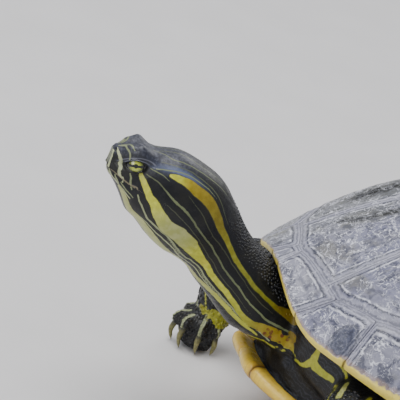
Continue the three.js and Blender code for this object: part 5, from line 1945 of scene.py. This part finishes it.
def claw_finish():
    f = Finish("claw horn", Roughness=0.34, Specular_IOR_Level=0.5, Coat_Weight=0.2,
               Coat_Roughness=0.2)
    down = f.field("down")
    streak = f.noise(1.2, 3.0)
    colour = f.mix(f.remap(streak, 0.35, 0.65), *CLAW_HORNS)
    colour = f.mix(f.remap(down, 0.45, 0.0), colour, CLAW_ROOT)
    colour = f.mix(f.remap(down, 0.8, 1.0, 0, 0.7), colour, CLAW_TIP)
    return f.done(Base_Color=colour, Normal=f.bump(f.noise(0.4, 3.0), 0.05, 0.4))


claw_material = claw_finish()
for name, foot in FEET.items():
    claws, downs = [], []
    for i in foot.claws():
        root, knuckle, tip, end = foot.digit_points(i)
        heading = foot.headings[i]
        outward = foot.at(heading, 1, 0) - foot.at(heading, 0, 0)
        start, bend = knuckle + (tip - knuckle) * 0.6, (tip + end) / 2 + outward + (0, 0, 1)
        wide = 1.35 if not foot.hind else 1.45
        one = bar([start, bend, end],
                  [(0, wide), (0.35, wide * 0.92), (0.75, wide * 0.62), (1, 0.22)], 18, 12)
        q = places(one)
        reached = np.linalg.norm((q - start)[:, :2], axis=1) if foot.hind else start[2] - q[:, 2]
        downs.append(np.clip(reached / reached.max(), 0, 1))
        q[:, 2] = np.maximum(q[:, 2], 0.06)
        move_to(one, q)
        claws.append(one)
    piece(faced(joined(claws)), "claws_" + name, claw_material, (), "claw",
          down=np.concatenate(downs))
print("claws made")

# %% [markdown]
# ## Scales
#
# The neck's back is pebbled with granules and the legs and tail wear low scales that lie
# towards the toes or the tip. Each scale is a copy of one flat, seven-sided dome. Places are
# thrown at random over the skin and kept only where no earlier one is too near, which packs
# them evenly without rows. Each copy is turned to its place's normal and to the lie.

# %% Places for scales
AROUND = list(itertools.product((-1, 0, 1), repeat=3))


def crowded(d, near):
    return d[0] * d[0] + d[1] * d[1] + d[2] * d[2] < near * near


def thrown(mesh, chosen, per_face, spacing, seed):
    """Even random places on the chosen faces, with their smooth normals."""
    rng = np.random.default_rng(seed)
    points, normals = coordinates_of(mesh), coordinates_of(mesh, "normal")
    corners = np.empty(len(mesh.polygons), int)
    mesh.polygons.foreach_get("loop_start", corners)
    loops = np.empty(len(mesh.loops), int)
    mesh.loops.foreach_get("vertex_index", loops)
    a, b, c = loops[corners], loops[corners + 1], loops[corners + 2]
    faces = np.flatnonzero(chosen[a] & chosen[b] & chosen[c])
    faces = np.repeat(faces, per_face)
    rng.shuffle(faces)
    u, v = rng.random(len(faces))[:, None], rng.random(len(faces))[:, None]
    mix = lambda w: w[a[faces]] * (1 - u) + w[b[faces]] * (u - u * v) + w[c[faces]] * (u * v)
    place, normal = mix(points), unit(mix(normals))
    room = spacing(place)
    cell = float(room.max())
    keys = np.floor(place / cell).astype(int)
    kept, boxes = [], {}
    for k in range(len(place)):
        p, key, near = place[k], tuple(keys[k]), room[k]
        others = (q for i, j,
                  m in AROUND for q in boxes.get((key[0] + i, key[1] + j, key[2] + m), ()))
        if not any(crowded(p - place[q], near) for q in others):
            kept.append(k)
            boxes.setdefault(key, []).append(k)
    return place[kept], normal[kept], room[kept]


SCALE_LONG, SCALE_WIDE, SCALE_SUNK, SCALE_TILT = 1.12, 0.95, 0.18, 0.16
BAKE_PATCH = 0.0015      # half the breadth of one scale in the OFBake map


def scale_coat(name, root, normal, lie, size, height, spread, own_fields, finish):
    """Joins one dome per root into a coat piece with its fields and its OFBake map."""
    bm = unit_ball(7, 3)
    dome = places(bm)
    faces = [[v.index for v in f.verts] for f in bm.faces]
    bm.free()
    lie = unit(lie - normal * np.sum(lie * normal, axis=1)[:, None])
    up = unit(normal - lie * SCALE_TILT)
    lie = unit(lie - up * np.sum(lie * up, axis=1)[:, None])
    across = np.cross(up, lie)
    rng = np.random.default_rng(len(root))
    grow = size * rng.uniform(0.92, 1.08, len(root))
    spin = rng.uniform(-0.3, 0.3, len(root))
    x = dome[None, :, 0] * np.cos(spin)[:, None] - dome[None, :, 1] * np.sin(spin)[:, None]
    y = dome[None, :, 0] * np.sin(spin)[:, None] + dome[None, :, 1] * np.cos(spin)[:, None]
    place = (root[:, None] + lie[:, None] * (x * SCALE_LONG * grow[:, None])[..., None]
             + across[:, None] * (y * SCALE_WIDE * grow[:, None])[..., None]
             + up[:, None] * ((dome[None, :, 2] - SCALE_SUNK) * height[:, None])[..., None])
    place = place.reshape(-1, 3)
    count = len(dome)
    mesh = bpy.data.meshes.new(name)
    all_faces = [[i + k * count for i in f] for k in range(len(root)) for f in faces]
    mesh.from_pydata((place * MM + SHIFT).tolist(), [], all_faces)
    values = marking_fields(place)
    values.update({key: np.repeat(v, count) for key, v in own_fields.items()})
    values["tone"] = np.repeat(rng.random(len(root)), count)
    patch = np.repeat(spread, count, axis=0) + BAKE_PATCH * np.column_stack([x.ravel(), y.ravel()])
    layer = mesh.uv_layers.new(name="OFBake")
    index = np.empty(len(mesh.loops), int)
    mesh.loops.foreach_get("vertex_index", index)
    layer.data.foreach_set("uv", patch[index].ravel())
    for key, v in values.items():
        attribute(mesh, key, v)
    mesh.polygons.foreach_set("use_smooth", [True] * len(mesh.polygons))
    obj = linked(name, mesh)
    mesh.materials.append(finish)
    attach(obj, "root")
    print(name + ":", len(root), "scales,", sum(len(f) - 2 for f in faces) * len(root), "triangles")


# %% Granules of the neck's back
scale_material = skin_finish("slider scales", scaly=True)
points = coordinates_of(flesh)
on_nape = on_head & (length_along > 46) & (length_along < 106) & (turned < 70)
nape_tree = find_tree(points[on_nape], np.flatnonzero(on_nape))


def nape_place(place):
    nearest = nearest_number(nape_tree, place)
    return length_along[nearest], turned[nearest]


def nape_room(place):
    at, _ = nape_place(place)
    return 1.0 + 0.35 * step(at, 60, 100)


root, normal, room = thrown(flesh, on_nape, 2, nape_room, 21)
at, turn = nape_place(root)
edge = 1 - step(turn, 40 + 12 * ripple(root, 6, 9), 60 + 8 * ripple(root, 6, 9))
start = step(at, 46, 60)
keep = (edge * start) > np.random.default_rng(5).uniform(0.05, 0.6, len(root))
root, normal, room, at, turn, edge, start = (v[keep] for v in (root, normal, room, at, turn, edge,
                                                               start))
lie = np.tile(unit((0, 0.62, -0.78)), (len(root), 1))
size = room * 0.56 * (0.55 + 0.45 * edge * start)
spread = np.column_stack([0.5 + np.sign(root[:, 0]) * turn / 180 * 0.9,
                          0.05 + (at - 40) / 70 * 0.9])
scale_coat("neck_granules", root, normal, lie, size, size * 0.62, spread, {"along": at},
           scale_material)

# %% Scales of the legs, feet and tail
FOOT_REACH, FOOT_HEIGHT, LIMB_SAMPLES, LIMB_BOX = 32, 18, 120, 75


def limb_scales(name, limbs, seed):
    gathered = []
    for number, (path, radii, foot) in enumerate(limbs):
        u = np.linspace(0, 1, LIMB_SAMPLES)
        centre, across, upward = tube_frame(path, u)
        reach = eased(radii, u)
        line = find_tree(centre)
        near = np.abs(points - centre.mean(axis=0)).max(axis=1) < LIMB_BOX
        index = np.flatnonzero(near)
        which, away = nearest_with_distance(line, points[index])
        mine = (away < reach[which] * 1.35) & (u[which] > (0.3 if foot else 0.22))
        if foot:
            from_foot = np.linalg.norm(points[index][:, :2] - (foot.x, foot.y), axis=1)
            mine |= (from_foot < FOOT_REACH) & (points[index][:, 2] < FOOT_HEIGHT)
        chosen = np.zeros(len(points), bool)
        chosen[index[mine]] = True
        chosen &= points[:, 2] > 0.9
        if foot:
            room_of = lambda p: np.where(p[:, 2] < 16, 1.35 + 0.25 * ripple(p, 7, 3),
                                         1.9 + 0.3 * ripple(p, 9, 4))
        else:
            room_of = lambda p: np.full(len(p), 1.5)
        root, normal, room = thrown(flesh, chosen, 3, room_of, seed + number)
        found = nearest_number(line, root)
        down = unit(np.gradient(centre, axis=0))[found]
        q = root - centre[found]
        angle = np.arctan2(np.sum(q * across[found], axis=1), np.sum(q * upward[found], axis=1))
        place_along = u[found]
        if foot:
            out = np.column_stack([root[:, 0] - foot.x, root[:, 1] - foot.y, np.zeros(len(root))])
            length = np.linalg.norm(out, axis=1)
            low = 1 - step(root[:, 2], 13, FOOT_HEIGHT)
            to_toes = out / np.maximum(length, 1)[:, None] - (0, 0, 0.4)
            down = unit(down * (1 - low)[:, None] + to_toes * low[:, None])
            place_along = place_along + low * length / FOOT_REACH
        width = 0.9 / len(limbs)
        across_map = 0.05 + width * (number + 0.04 + 0.92 * (angle + np.pi) / (2 * np.pi))
        spread = np.column_stack([across_map, 0.04 + 0.92 * place_along / 2.1])
        gathered.append((root, normal, down, room, spread))
    root, normal, lie, room, spread = (np.concatenate(v) for v in zip(*gathered))
    size = room * 0.6
    scale_coat(name, root, normal, lie, size, size * 0.34, spread,
               {"along": np.full(len(root), BODY_ALONG)}, scale_material)


for limb, seed in (("foreleg", 31), ("hindleg", 41)):
    pair = [FEET[f"{limb}_{side}"] for side in ("left", "right")]
    limb_scales(f"{limb}_scales", [(foot.path, foot.radii, foot) for foot in pair], seed)
limb_scales("tail_scales", [(vectors(TAIL_PATH), TAIL_RADII, None)], 51)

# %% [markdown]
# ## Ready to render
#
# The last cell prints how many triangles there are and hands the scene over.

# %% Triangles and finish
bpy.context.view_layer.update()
total = sum(len(f.vertices) - 2 for o in bpy.context.scene.objects if o.type == "MESH"
            for f in o.data.polygons)
print("the model has", total, "triangles")
